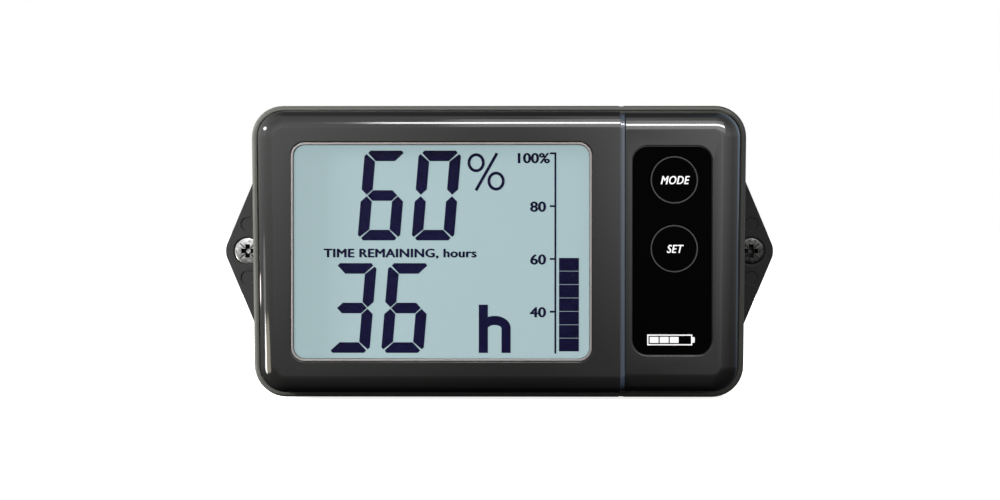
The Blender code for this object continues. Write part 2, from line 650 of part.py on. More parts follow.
def build_holder():
    """The frame that carries the glass, the diffuser and the zebra strip on the circuit board."""
    z0 = BOARD_Z + BOARD_THICKNESS + GAP
    half = GLASS_WIDTH / 2 + GAP
    top = GLASS_TOP_Y + GAP
    bottom = FRONT_GLASS_BOTTOM_Y - GAP
    wall = HOLDER_WALL
    outer = span(
        LCD_X - half - wall, LCD_X + half + wall, bottom - wall + ZEBRA_WALL_GAP, top + wall, z0, HOLDER_TOP_Z
    )
    holder = piece("lcd_holder", outer, "white_plastic")
    for x, y in board_screw_places():
        join(holder, disc(HOLDER_EAR_R, z0, HOLDER_LEDGE_Z + OUT, x, y, segments=12))
    cut(holder, span(LCD_X - half, LCD_X + half, bottom, top, HOLDER_LEDGE_Z, HOLDER_TOP_Z + OUT))
    half -= HOLDER_LEDGE
    cut(holder, span(
        LCD_X - half, LCD_X + half, REAR_GLASS_BOTTOM_Y, top - HOLDER_LEDGE, z0 - OUT, HOLDER_LEDGE_Z + OUT
    ))
    zebra_half = ZEBRA_LENGTH / 2 + GAP
    cut(holder, span(
        LCD_X - zebra_half, LCD_X + zebra_half, bottom + ZEBRA_WALL_GAP, REAR_GLASS_BOTTOM_Y - GAP,
        z0 - OUT, HOLDER_LEDGE_Z + OUT,
    ))
    for x, y in BOSS_XY:
        if x < SEAM_X:
            cut(holder, disc(BOSS_R + BOSS_CLEARANCE, z0 - OUT, HOLDER_TOP_Z + OUT, x, y, segments=16))
    for x, y in board_screw_places():
        cut(holder, disc(HOLDER_EAR_BORE_R, z0 - OUT, HOLDER_LEDGE_Z, x, y, segments=12))
    half -= GAP
    diffuser_z = HOLDER_LEDGE_Z - DIFFUSER_THICKNESS
    diffuser = span(
        LCD_X - half, LCD_X + half, REAR_GLASS_BOTTOM_Y + GAP, top - HOLDER_LEDGE - GAP,
        diffuser_z, HOLDER_LEDGE_Z,
    )
    piece("backlight_diffuser", diffuser, "white_plastic")


def build_backlight_leds():
    z0 = BOARD_Z + BOARD_THICKNESS + FILM_GAP
    for number, (x, y) in enumerate(LED_XY, 1):
        led = box(LED_WIDTH, LED_HEIGHT, z0, z0 + LED_THICKNESS, LCD_X + x, y)
        piece(f"backlight_led_{number}", led, "white_plastic")


# --- Circuit board -----------------------------------------------------------------------------------
def build_board():
    front_z = BOARD_Z + BOARD_THICKNESS
    width = BOARD_RIGHT_X - BOARD_LEFT_X
    middle = (BOARD_RIGHT_X + BOARD_LEFT_X) / 2
    shape = rounded(width, 2 * BOARD_HALF_HEIGHT, BOARD_Z, front_z, BOARD_CORNER, middle, segments=3)
    board = piece("circuit_board", shape, "board")
    for x, y in BOSS_XY:
        cut(board, disc(BOSS_R + BOSS_CLEARANCE, BOARD_Z - OUT, front_z + OUT, x, y, segments=16))
    for x, y in board_screw_places():
        cut(board, disc(BOARD_SCREW_HOLE_R, BOARD_Z - OUT, front_z + OUT, x, y, segments=12))


def build_board_screws():
    """Small screws through the board into the display holder's ears."""
    head_top = BOARD_Z - FILM_GAP
    for number, (x, y) in enumerate(board_screw_places(), 1):
        head = disc(BOARD_SCREW_HEAD_R, head_top - BOARD_SCREW_HEAD, head_top, x, y, segments=12)
        screw = piece(f"board_screw_{number}", head, "bright_steel")
        join(screw, disc(BOARD_SCREW_R, head_top - OUT / 2, HOLDER_LEDGE_Z - GAP, x, y, segments=8))


def build_chips():
    """What the back of the board carries, each as a plain package at its real size."""
    top = BOARD_Z - FILM_GAP
    for name, (width, height, thickness, x, y) in CHIPS.items():
        piece(name, box(width, height, top - thickness, top, x, y), "chip")
    width, height, thickness, x, y = CRYSTAL
    shape = rounded(width, height, top - thickness, top, 0.49 * height, x, y, 4)
    piece("quartz_crystal", shape, "bright_steel")
    x, y = CAPACITOR_XY
    base_z = top - CAPACITOR_BASE
    can = disc(CAPACITOR_R, top - CAPACITOR_HEIGHT, base_z + OUT / 4, x, y, segments=20)
    capacitor = piece("buffer_capacitor", can, "bright_steel")
    side = 2 * CAPACITOR_R + GAP
    join(capacitor, box(side, side, base_z, top, x, y))


def build_lead_socket():
    """The shrouded four-way socket for the lead, open to the back, with its contact pins."""
    top = BOARD_Z - GAP
    socket = piece(
        "lead_socket", box(SOCKET_WIDTH, SOCKET_HEIGHT, SOCKET_MOUTH_Z, top, SOCKET_X, SOCKET_Y), "chip"
    )
    width = SOCKET_WIDTH - 2 * SOCKET_WALL
    height = SOCKET_HEIGHT - 2 * SOCKET_WALL
    cut(socket, box(width, height, SOCKET_MOUTH_Z - OUT, top - SOCKET_FLOOR, SOCKET_X, SOCKET_Y))
    pin_y = SOCKET_Y + PIN_Y
    for number in range(4):
        x = SOCKET_X + (number - 1.5) * PIN_PITCH
        hole = PIN_SIDE + 2 * FILM_GAP
        cut(socket, box(hole, hole, top - SOCKET_FLOOR - OUT, top + OUT, x, pin_y))
        pin = box(PIN_SIDE, PIN_SIDE, SOCKET_MOUTH_Z + PIN_SHORT, BOARD_Z - FILM_GAP, x, pin_y)
        piece(f"socket_pin_{number + 1}", pin, "tin")


# --- Keys --------------------------------------------------------------------------------------------
def build_key_panel():
    z0 = PANEL_FRONT_Z - PANEL_THICKNESS
    panel = piece(
        "key_panel",
        rounded(PANEL_WIDTH, PANEL_HEIGHT, z0, PANEL_FRONT_Z, PANEL_CORNER, PANEL_X, PANEL_Y),
        "key_gloss",
    )
    sheet_z = z0 - ADHESIVE_GAP - ADHESIVE_THICKNESS
    shape = rounded(
        PANEL_WIDTH - 2 * ADHESIVE_INSET, PANEL_HEIGHT - 2 * ADHESIVE_INSET, sheet_z, z0 - ADHESIVE_GAP,
        PANEL_CORNER - ADHESIVE_INSET, PANEL_X, PANEL_Y,
    )
    sheet = piece("key_panel_adhesive", shape, "tape")
    for y in KEY_Y.values():
        cut(panel, disc(KEY_R + KEY_CLEARANCE, z0 - OUT, PANEL_FRONT_Z + OUT, KEY_X, y, segments=40))
        cut(sheet, disc(KEY_R + ADHESIVE_HOLE, sheet_z - OUT, z0 + OUT, KEY_X, y, segments=24))


def build_key(name, y):
    """A key with the flange that keeps it in the cap, the switch under it and the switch's stem."""
    under_wall_z = FRONT_Z - CAP_FRONT_WALL - CAP_DROP - GAP
    flange_z = under_wall_z - KEY_FLANGE_THICKNESS
    middle_z = (flange_z + under_wall_z) / 2
    key = piece(f"{name}_key_cap", disc(KEY_R, middle_z, PANEL_FRONT_Z, KEY_X, y, segments=40), "key_gloss")
    join(key, disc(KEY_FLANGE_R, flange_z, under_wall_z, KEY_X, y, segments=32))
    join(key, disc(KEY_PLUNGER_R, STEM_TOP_Z + FILM_GAP, middle_z, KEY_X, y, segments=12))
    z0 = BOARD_Z + BOARD_THICKNESS + FILM_GAP
    switch = piece(f"{name}_switch_body", box(SWITCH_SIDE, SWITCH_SIDE, z0, SWITCH_TOP_Z, KEY_X, y), "chip")
    cut(switch, disc(STEM_R + GAP, SWITCH_FLOOR_Z, SWITCH_TOP_Z + OUT, KEY_X, y, segments=16))
    dome_z = SWITCH_FLOOR_Z + DOME_GAP
    dome = disc(STEM_R, dome_z, dome_z + DOME_HEIGHT, KEY_X, y, front_radius=STEM_R / 2, segments=12)
    piece(f"{name}_switch_dome", dome, "tin")
    stem = disc(STEM_R, STEM_BOTTOM_Z, STEM_TOP_Z, KEY_X, y, segments=16)
    piece(f"{name}_switch_stem", stem, "white_plastic")


def main():
    build_wall_plate()
    build_wall_screw("wall_screw_left", -WALL_SCREW_X)
    build_wall_screw("wall_screw_right", WALL_SCREW_X)
    build_rear_housing()
    build_housing_seal()
    build_display_bezel()
    build_key_end_cap()
    build_cover_screws()
    build_window()
    build_display_layers()
    build_holder()
    build_backlight_leds()
    build_board()
    build_board_screws()
    build_chips()
    build_lead_socket()
    build_key_panel()
    for name, y in KEY_Y.items():
        build_key(name, y)


main()
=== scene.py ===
"""Looks of the battery monitor display head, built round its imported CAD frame.

Pieces are modelled in the panel frame: x to the right, y up the face, z out of the wall, with z = 0
on the wall. STAND_UP turns a mesh into the row frame, where the face looks along -Y and +Z is up.
"""

import json
import math

import bmesh
import bpy
from mathutils import Matrix, Vector

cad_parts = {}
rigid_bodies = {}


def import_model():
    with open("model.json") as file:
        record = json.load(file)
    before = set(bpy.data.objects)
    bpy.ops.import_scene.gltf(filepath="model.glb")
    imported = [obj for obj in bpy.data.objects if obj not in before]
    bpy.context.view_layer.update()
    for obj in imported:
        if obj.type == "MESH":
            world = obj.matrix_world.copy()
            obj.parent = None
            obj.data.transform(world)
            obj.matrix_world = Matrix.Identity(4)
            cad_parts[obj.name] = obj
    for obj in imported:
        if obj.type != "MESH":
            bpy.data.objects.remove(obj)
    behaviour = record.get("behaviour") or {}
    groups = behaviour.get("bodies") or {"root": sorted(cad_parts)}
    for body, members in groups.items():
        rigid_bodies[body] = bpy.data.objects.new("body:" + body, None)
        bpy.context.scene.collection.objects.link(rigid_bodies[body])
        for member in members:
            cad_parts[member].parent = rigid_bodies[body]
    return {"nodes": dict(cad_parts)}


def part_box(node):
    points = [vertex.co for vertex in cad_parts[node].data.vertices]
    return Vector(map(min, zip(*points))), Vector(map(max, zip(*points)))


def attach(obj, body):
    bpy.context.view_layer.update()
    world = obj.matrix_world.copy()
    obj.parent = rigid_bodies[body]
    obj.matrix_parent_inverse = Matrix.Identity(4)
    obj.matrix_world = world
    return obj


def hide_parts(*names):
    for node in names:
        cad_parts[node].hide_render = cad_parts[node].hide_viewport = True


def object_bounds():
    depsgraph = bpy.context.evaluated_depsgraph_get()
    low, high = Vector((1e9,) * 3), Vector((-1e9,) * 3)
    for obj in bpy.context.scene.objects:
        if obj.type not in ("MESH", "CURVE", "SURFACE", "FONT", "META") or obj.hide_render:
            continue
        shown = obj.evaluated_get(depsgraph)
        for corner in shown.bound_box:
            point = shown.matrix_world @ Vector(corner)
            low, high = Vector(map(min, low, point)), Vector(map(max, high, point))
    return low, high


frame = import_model()
CAD_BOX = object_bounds()

MM = 0.001
STAND_UP = Matrix.Rotation(math.radians(90), 4, "X")
MAX_SMOOTH = math.radians(35)
WELD = 0.001 * MM
FLAT = math.radians(0.2)  # faces within this angle become one
SAME = 1e-7  # lengths below this count as nothing


def panel_box(node):
    """A CAD node's lowest and highest corner, in the panel frame."""
    low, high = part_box(node)
    return Vector((low.x, low.z, -high.y)), Vector((high.x, high.z, -low.y))


def middle(node):
    low, high = panel_box(node)
    return (low + high) / 2


# --- Dimensions from the frame ---
REAR_LOW, REAR_HIGH = panel_box("rear_housing")
BODY_WIDTH = REAR_HIGH.x - REAR_LOW.x
BODY_HEIGHT = REAR_HIGH.y - REAR_LOW.y
BACK_Z = REAR_LOW.z
RIM_Z = REAR_HIGH.z
BEZEL_LOW, BEZEL_HIGH = panel_box("display_bezel")
FRONT_Z = BEZEL_HIGH.z
LIP_X = BEZEL_HIGH.x
BOSS_Z = BEZEL_LOW.z
CAP_X = panel_box("key_end_cap")[0].x
PLATE_LOW, PLATE_HIGH = panel_box("wall_plate")
WINDOW_LOW, WINDOW_HIGH = panel_box("display_window")
WINDOW_MIDDLE = middle("display_window")
TRIM_LOW, TRIM_HIGH = panel_box("window_trim")
PANEL_LOW, PANEL_HIGH = panel_box("key_panel")
PANEL_MIDDLE = middle("key_panel")
SCREEN_Z = panel_box("lcd_front_polariser")[1].z
BOSSES = [middle(f"cover_screw_{number}") for number in range(1, 7)]
KEYS = {"upper_key": middle("upper_key_cap"), "lower_key": middle("lower_key_cap")}

# --- Dimensions of the housing ---
GAP = 0.3 * MM
BODY_CORNER = 8 * MM
BODY_TAPER = 0.8 * MM
SHOULDER = 1.5 * MM
SIDE_STEP = 0.8 * MM  # how much further in the covers' left and right sides stand
CAP_SIDE_STEP = 0.4 * MM  # the same for the end cap's outer side
RIM_WIDTH = 3 * MM
RIM_ROUNDING = 0.9 * MM
SHADOW_GAP = 0.35 * MM
SHADOW_GAP_DEPTH = 0.6 * MM
SHADOW_GAP_STEP = 0.2 * MM
BACK_WALL = 2 * MM
COVER_Z = 13 * MM
COVER_FILLET = 4.2 * MM
CAP_FILLET = 4.55 * MM
COVER_DRAFT = 0.5 * MM
COVER_WALL = 2.5 * MM
COVER_EDGE = 0.18 * MM  # rounding of the covers' sharp edges
FRONT_WALL = 2.2 * MM
CAP_FRONT_WALL = 2.8 * MM
CAVITY_FILLET = 3 * MM
SEAM_LIP = 0.85 * MM
SEAM_LIP_DROP = 0.8 * MM
SEAM_SLIT = 0.03 * MM  # what stays open between the lip and the end cap
SEAM_X = LIP_X - SEAM_LIP
SEAM_WALL = 1.5 * MM
SEAM_WALL_Z = 14.5 * MM
CAP_DROP = 0.25 * MM
SKIRT_WALL = 1.3 * MM
SKIRT_Z = 10.5 * MM
SKIRT_TOP_Z = 15 * MM
SEAM_NOTCH_DEPTH = 0.15 * MM  # where the seam's line goes on over the rear housing's rim
BOSS_R = 2.3 * MM
BOSS_HOLE_Z = 17 * MM
PILLAR_R = 2.9 * MM
SCREW_HOLE_R = 1.3 * MM
SCREW_SINK_R = 2.2 * MM
SCREW_SINK_Z = 6 * MM
BOARD_POST_R = 1.8 * MM
FINE = 16  # segments of a quarter turn on the outer surface
OUT = 1 * MM  # how far a cutter runs past what it cuts
FAR = BODY_WIDTH  # a distance that clears the whole object

# --- Dimensions of the plate, the keys and the display ---
PLATE_TOP_Z = 3 * MM
PLATE_SHOULDER_X = 57.7 * MM
EAR_TIP_X = 71 * MM
PLATE_CORNER = 2 * MM
WALL_SCREW_X = middle("wall_screw_right").x
WALL_SCREW_TOP_Z = panel_box("wall_screw_right")[1].z
WALL_SCREW_R = 1.75 * MM
WALL_SCREW_HEAD_R = 3.3 * MM
SCREW_CLEARANCE = 0.35 * MM
EAR_MARK_Y = 6.9 * MM
EAR_MARK_R = 1.7 * MM
EAR_MARK_DEPTH = 0.2 * MM
CABLE_HOLE_SIZE = (30 * MM, 20 * MM)
CABLE_HOLE_CORNER = 2 * MM
SOCKET = middle("lead_socket")
SOCKET_LOW, SOCKET_HIGH = panel_box("lead_socket")
HOOKS = [(x, y) for x in (-38 * MM, 38 * MM) for y in (-22 * MM, 22 * MM)]
HOOK_WIDTH, HOOK_THICKNESS, HOOK_LIP = 7 * MM, 1.5 * MM, 1.2 * MM
HOOK_CLEARANCE = 0.45 * MM
BOARD_BACK_Z = panel_box("circuit_board")[0].z
BOARD_POSTS = [(-48 * MM, 20 * MM), (-48 * MM, -20 * MM), (52 * MM, 18 * MM), (52 * MM, -18 * MM)]
WINDOW_FLANGE = 2.6 * MM
WINDOW_FLANGE_CORNER = 3 * MM
WINDOW_STEP_Z = 22.1 * MM
WINDOW_CORNER = 2.4 * MM
WINDOW_WIDTH = WINDOW_HIGH.x - WINDOW_LOW.x - 2 * WINDOW_FLANGE
WINDOW_HEIGHT = WINDOW_HIGH.y - WINDOW_LOW.y - 2 * WINDOW_FLANGE
TRIM_MARGIN = 0.42 * MM
TRIM_WIDTH = 0.5 * MM
TRIM_CLEARANCE = 0.2 * MM
PANEL_CORNER = 3.7 * MM
PANEL_GAP = 0.2 * MM
POCKET_CLEARANCE = 0.1 * MM
KEY_R = 5.93 * MM
KEY_CLEARANCE = 0.2 * MM
KEY_FLANGE_R = 7.2 * MM


# --- Shapes ---
def mesh_from(bm):
    mesh = bpy.data.meshes.new("shape")
    bmesh.ops.recalc_face_normals(bm, faces=bm.faces)
    bm.to_mesh(mesh)
    bm.free()
    return mesh


def box_bmesh(width, height, z0, z1, x=0, y=0):
    bm = bmesh.new()
    place = Matrix.Translation((x, y, (z0 + z1) / 2)) @ Matrix.Diagonal((width, height, z1 - z0, 1))
    bmesh.ops.create_cube(bm, size=1, matrix=place)
    return bm


def box(width, height, z0, z1, x=0, y=0):
    return mesh_from(box_bmesh(width, height, z0, z1, x, y))


def span(x0, x1, y0, y1, z0, z1):
    return box(x1 - x0, y1 - y0, z0, z1, (x0 + x1) / 2, (y0 + y1) / 2)


def round_edges(bm, edges, radius, segments):
    bmesh.ops.bevel(
        bm, geom=edges, offset=radius, segments=segments, profile=0.5, affect="EDGES",
        clamp_overlap=False,
    )


def round_upright_edges(bm, radius, segments):
    upright = [e for e in bm.edges if (e.verts[0].co - e.verts[1].co).xy.length < SAME]
    round_edges(bm, upright, radius, segments)


def rounded(width, height, z0, z1, radius, x=0, y=0):
    """A plate with round corners."""
    bm = box_bmesh(width, height, z0, z1)
    round_upright_edges(bm, radius, FINE)
    bmesh.ops.translate(bm, vec=(x, y, 0), verts=bm.verts)
    return mesh_from(bm)


def body_outline(inset, z0, z1, fillet=0, draft=0, segments=FINE, step=0):
    """The body's tapered outline, moved in by inset, as a plate with its front edge rounded over.

    Step moves the left and right sides further in.
    """
    width = BODY_WIDTH - 2 * (inset + step)
    height = BODY_HEIGHT - 2 * inset
    bm = box_bmesh(width, height, z0, z1)
    for corner in bm.verts:
        if corner.co.y < 0:
            corner.co.x -= math.copysign(BODY_TAPER, corner.co.x)
    round_upright_edges(bm, BODY_CORNER - inset, segments)
    front = [v for v in bm.verts if v.co.z > (z0 + z1) / 2]
    bmesh.ops.scale(bm, vec=(1 - 2 * draft / width, 1 - 2 * draft / height, 1), verts=front)
    if fillet:
        rim = [e for e in bm.edges if all(v.co.z > z1 - SAME for v in e.verts)]
        round_edges(bm, rim, fillet, segments)
    return mesh_from(bm)


def disc(radius, z0, z1, x=0, y=0, front_radius=None, segments=48):
    """A cylinder along z, or a cone frustum if the front radius differs."""
    bm = bmesh.new()
    bmesh.ops.create_cone(
        bm, cap_ends=True, segments=segments, radius1=radius,
        radius2=radius if front_radius is None else front_radius, depth=z1 - z0,
        matrix=Matrix.Translation((x, y, (z0 + z1) / 2)),
    )
    return mesh_from(bm)


def prism_into(bm, points, z0, z1):
    """Adds a flat outline with a thickness to bm."""
    lower = [bm.verts.new((x, y, z0)) for x, y in points]
    upper = [bm.verts.new((x, y, z1)) for x, y in points]
    bm.faces.new(upper)
    bm.faces.new(list(reversed(lower)))
    for i in range(len(points)):
        j = (i + 1) % len(points)
        bm.faces.new((lower[i], lower[j], upper[j], upper[i]))


def prisms(outlines, z0, z1):
    bm = bmesh.new()
    for points in outlines:
        prism_into(bm, points, z0, z1)
    return mesh_from(bm)


def turned(profile, segments=48, wave=None):
    """A closed body of revolution about z from (radius, z) points; wave moves a point in or out."""
    bm = bmesh.new()
    rings = []
    for radius, z in profile:
        ring = []
        for i in range(segments):
            angle = 2 * math.pi * i / segments
            r = radius + (wave(z, angle) if wave else 0)
            ring.append(bm.verts.new((r * math.cos(angle), r * math.sin(angle), z)))
        rings.append(ring)
    for low, high in zip(rings, rings[1:]):
        for i in range(segments):
            j = (i + 1) % segments
            bm.faces.new((low[i], low[j], high[j], high[i]))
    bm.faces.new(list(reversed(rings[0])))
    bm.faces.new(rings[-1])
    return mesh_from(bm)


def moved(mesh, x=0, y=0, z=0, turn=0):
    mesh.transform(Matrix.Translation((x, y, z)) @ Matrix.Rotation(turn, 4, "Z"))
    return mesh


def add_object(name, data):
    obj = bpy.data.objects.new(name, data)
    bpy.context.scene.collection.objects.link(obj)
    return obj


# --- Booleans ---
def helper(mesh):
    """An object that only Booleans use; baked() removes it."""
    return add_object("helper", mesh)


def boolean(obj, other, operation):
    modifier = obj.modifiers.new(operation, "BOOLEAN")
    modifier.operation = operation
    modifier.object = other if isinstance(other, bpy.types.Object) else helper(other)
    return obj


def cut(obj, *others):
    for other in others:
        boolean(obj, other, "DIFFERENCE")
    return obj


def join(obj, *others):
    for other in others:
        boolean(obj, other, "UNION")
    return obj


def keep_inside(obj, other):
    return boolean(obj, other, "INTERSECT")


def baked(obj):
    """What obj's Booleans give, without the points they leave on flat faces. All helpers go."""
    bpy.context.view_layer.update()
    result = obj.evaluated_get(bpy.context.evaluated_depsgraph_get())
    mesh = bpy.data.meshes.new_from_object(result)
    for used in [o for o in bpy.data.objects if o.name.startswith("helper")]:
        bpy.data.objects.remove(used)
    bm = bmesh.new()
    bm.from_mesh(mesh)
    bmesh.ops.remove_doubles(bm, verts=bm.verts, dist=WELD)
    bmesh.ops.dissolve_limit(bm, angle_limit=FLAT, verts=bm.verts, edges=bm.edges)
    bm.to_mesh(mesh)
    bm.free()
    return mesh


def round_outer_edges(mesh, radius):
    bm = bmesh.new()
    bm.from_mesh(mesh)
    outer = [e for e in bm.edges if e.is_manifold and e.is_convex]
    sharp = [e for e in outer if e.calc_face_angle() > MAX_SMOOTH]
    round_edges(bm, sharp, radius, 2)
    bm.to_mesh(mesh)
    bm.free()


# --- Pieces ---
def piece(name, shape, make_look, stands_for=(), body="housing", edge=0):
    """A named piece that moves with a body, its edges rounded to the radius edge.

    The shape is a mesh, or an object whose Booleans give one.
    """
    mesh = baked(shape) if isinstance(shape, bpy.types.Object) else shape
    if edge:
        round_outer_edges(mesh, edge)
    mesh.transform(STAND_UP)
    mesh.name = name
    mesh.materials.clear()
    mesh.materials.append(look(make_look))
    mesh.shade_smooth()
    mesh.set_sharp_from_angle(angle=MAX_SMOOTH)
    obj = add_object(name, mesh)
    # Large faces keep their own normal where a rounded edge meets them.
    obj.modifiers.new("normals", "WEIGHTED_NORMAL").keep_sharp = True
    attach(obj, body)
    if stands_for:
        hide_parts(*stands_for)
    return obj


def soften(obj, width):
    """Rounds the edges of a CAD node, whose mesh stays as it is."""
    bevel = obj.modifiers.new("edges", "BEVEL")
    bevel.width = width
    bevel.segments = 2
    bevel.limit_method = "ANGLE"
    bevel.angle_limit = MAX_SMOOTH
    bevel.harden_normals = True


# --- Materials ---
def add_node(nodes, kind, values):
    """A shader node with the values of its inputs."""
    node = nodes.new(kind)
    for socket, value in values.items():
        node.inputs[socket].default_value = value
    return node


def grey(value):
    return (value, value, value)


def principled(material):
    return material.node_tree.nodes["Principled BSDF"]


def surface(
    name, dark, light, roughness, spread=0.04, patch=25, grain=1500, bump=0.02, metallic=0.0,
    specular=0.5,
):
    """A material whose colour and roughness drift in patches, with a fine bumpy grain.

    patch and grain are in features a metre, and bump is the grain's height in millimetres.
    """
    material = bpy.data.materials.new(name)
    material.use_nodes = True
    nodes = material.node_tree.nodes
    links = material.node_tree.links
    shader = principled(material)
    place = nodes.new("ShaderNodeTexCoord")
    patches = add_node(nodes, "ShaderNodeTexNoise", {"Scale": patch, "Detail": 6})
    grains = add_node(nodes, "ShaderNodeTexNoise", {"Scale": grain, "Detail": 3})
    for noise in (patches, grains):
        links.new(place.outputs["Object"], noise.inputs["Vector"])
    tint = nodes.new("ShaderNodeValToRGB")
    for stop, position, colour in zip(tint.color_ramp.elements, (0.3, 0.7), (dark, light)):
        stop.position = position
        stop.color = (*colour, 1)
    links.new(patches.outputs["Fac"], tint.inputs["Fac"])
    links.new(tint.outputs["Color"], shader.inputs["Base Color"])
    low, high = roughness - spread, roughness + spread
    sheen = add_node(nodes, "ShaderNodeMapRange", {"To Min": low, "To Max": high})
    links.new(patches.outputs["Fac"], sheen.inputs["Value"])
    links.new(sheen.outputs["Result"], shader.inputs["Roughness"])
    relief = add_node(nodes, "ShaderNodeBump", {"Strength": 1, "Distance": bump * MM})
    links.new(grains.outputs["Fac"], relief.inputs["Height"])
    links.new(relief.outputs["Normal"], shader.inputs["Normal"])
    shader.inputs["Metallic"].default_value = metallic
    shader.inputs["Specular IOR Level"].default_value = specular
    return material


def glow(material, colour, strength):
    shader = principled(material)
    shader.inputs["Emission Color"].default_value = (*colour, 1)
    shader.inputs["Emission Strength"].default_value = strength


def with_band(material, axis, centre, half_width, colour):
    """The material with another colour within half_width of a centre on an axis."""
    nodes = material.node_tree.nodes
    links = material.node_tree.links
    shader = principled(material)
    elsewhere = shader.inputs["Base Color"].links[0].from_socket
    parts = nodes.new("ShaderNodeSeparateXYZ")
    links.new(nodes["Texture Coordinate"].outputs["Object"], parts.inputs["Vector"])
    within = add_node(nodes, "ShaderNodeMath", {1: centre, 2: half_width})
    within.operation = "COMPARE"
    links.new(parts.outputs[axis], within.inputs[0])
    band = nodes.new("ShaderNodeMix")
    band.data_type = "RGBA"
    band.inputs["B"].default_value = (*colour, 1)
    links.new(within.outputs["Value"], band.inputs["Factor"])
    links.new(elsewhere, band.inputs["A"])
    links.new(band.outputs["Result"], shader.inputs["Base Color"])
    return material


def housing_plastic():
    """Glossy dark grey, with a painted pale bluish reflection along the seam's lip and its edges.
    """
    dark, light = (0.0075, 0.0075, 0.0072), (0.0095, 0.0095, 0.0092)
    plain = surface("housing_plastic", dark, light, 0.09, spread=0.01, bump=0.0003, specular=0.6)
    # Painted reflection: a pale blue-grey band across the seam's lip and the edges beside it.
    centre, half_width = (SEAM_X + CAP_X) / 2 - 0.07 * MM, 0.59 * MM
    return with_band(plain, "X", centre, half_width, (0.075, 0.1, 0.145))


def rear_plastic():
    dark, light = (0.052, 0.053, 0.047), (0.064, 0.065, 0.058)
    return surface("rear_plastic", dark, light, 0.42, bump=0.008, specular=0.15)


def plate_plastic():
    return surface("plate_plastic", grey(0.02), grey(0.027), 0.5, bump=0.012, specular=0.05)


def seal_rubber():
    return surface("seal_rubber", grey(0.004), grey(0.008), 0.8, bump=0.02)


def key_lacquer():
    return surface("key_lacquer", grey(0.0006), grey(0.0012), 0.16, bump=0.0008, specular=0.004)


def trim_silver():
    return surface("trim_silver", (0.19, 0.175, 0.17), (0.23, 0.21, 0.2), 0.35, metallic=0.2)


def zinc_steel():
    return surface("zinc_steel", (0.5, 0.49, 0.46), (0.7, 0.69, 0.66), 0.26, patch=400, metallic=1)


def with_painted_recess_shade(metal):
    """Painted shade in the cross of a wall screw's head: a dark band of depth just under its top.
    """
    centre, half_depth = -WALL_SCREW_TOP_Z + 0.95 * MM, 0.9 * MM
    # A near-black band of painted shade.
    return with_band(metal, "Y", centre, half_depth, grey(0.006))


def clean_steel():
    dark, light = grey(0.22), grey(0.78)
    metal = surface("clean_steel", dark, light, 0.3, patch=900, bump=0.03, metallic=1)
    return with_painted_recess_shade(metal)


def worn_steel():
    dark, light = grey(0.012), (0.06, 0.06, 0.058)
    metal = surface("worn_steel", dark, light, 0.36, patch=900, bump=0.03, metallic=1)
    return with_painted_recess_shade(metal)


def contact_tin():
    return surface("contact_tin", (0.55, 0.53, 0.47), (0.7, 0.68, 0.62), 0.3, patch=600, metallic=1)


def white_print():
    return surface("white_print", grey(0.8), grey(0.88), 0.45)


def grey_print():
    return surface("grey_print", grey(0.03), grey(0.04), 0.4, specular=0.2)


def segment_ink():
    dark, light = (0.003, 0.002, 0.02), (0.005, 0.004, 0.03)
    return surface("segment_ink", dark, light, 0.6, patch=500, bump=0.001, specular=0)


def black_tape():
    return surface("black_tape", grey(0.012), grey(0.02), 0.7, grain=2500)


def milky_plastic():
    return surface("milky_plastic", (0.74, 0.74, 0.71), (0.82, 0.82, 0.8), 0.42)


def dark_package():
    return surface("dark_package", (0.01, 0.01, 0.011), (0.018, 0.018, 0.019), 0.55, grain=4000)


def solder_mask():
    return surface("solder_mask", (0.008, 0.075, 0.03), (0.014, 0.11, 0.045), 0.35, patch=300)


def zebra_rubber():
    return surface("zebra_rubber", grey(0.01), (0.16, 0.1, 0.1), 0.7, patch=2000)


def polariser_film():
    """The grey-green field that the segments stand on, given a painted glow so it looks evenly lit.
    """
    dark, light = (0.05, 0.066, 0.069), (0.056, 0.074, 0.077)
    material = surface("polariser_film", dark, light, 0.5, bump=0.001, specular=0.1)
    # Painted light: the film glows in its lit colour, so shade from the bezel hardly shows.
    glow(material, (0.386, 0.521, 0.546), 0.97)
    return material


def clear_glass(name, colour):
    """Thin glass that mostly shows what is behind it."""
    material = surface(name, colour, colour, 0.04, spread=0.01, bump=0.0004)
    principled(material).inputs["Alpha"].default_value = 0.06
    return material


MATERIALS = {}


def look(make):
    """The material that a function makes, made once."""
    if make not in MATERIALS:
        MATERIALS[make] = make()
    return MATERIALS[make]


def window_acrylic():
    return clear_glass("window_acrylic", (0.02, 0.022, 0.024))


def cell_glass():
    return clear_glass("cell_glass", (0.1, 0.12, 0.12))


# --- Housing ---
def hook(x, y):
    """A tab whose lip catches behind the rear housing's back wall."""
    lip_z = BACK_Z + BACK_WALL + GAP
    tab = helper(box(HOOK_WIDTH, HOOK_THICKNESS, PLATE_TOP_Z - OUT, lip_z + HOOK_LIP, x, y))
    lip_height = HOOK_THICKNESS + HOOK_LIP
    lip_y = y + math.copysign(HOOK_LIP / 2, y)
    return join(tab, box(HOOK_WIDTH, lip_height, lip_z, lip_z + HOOK_LIP, x, lip_y))


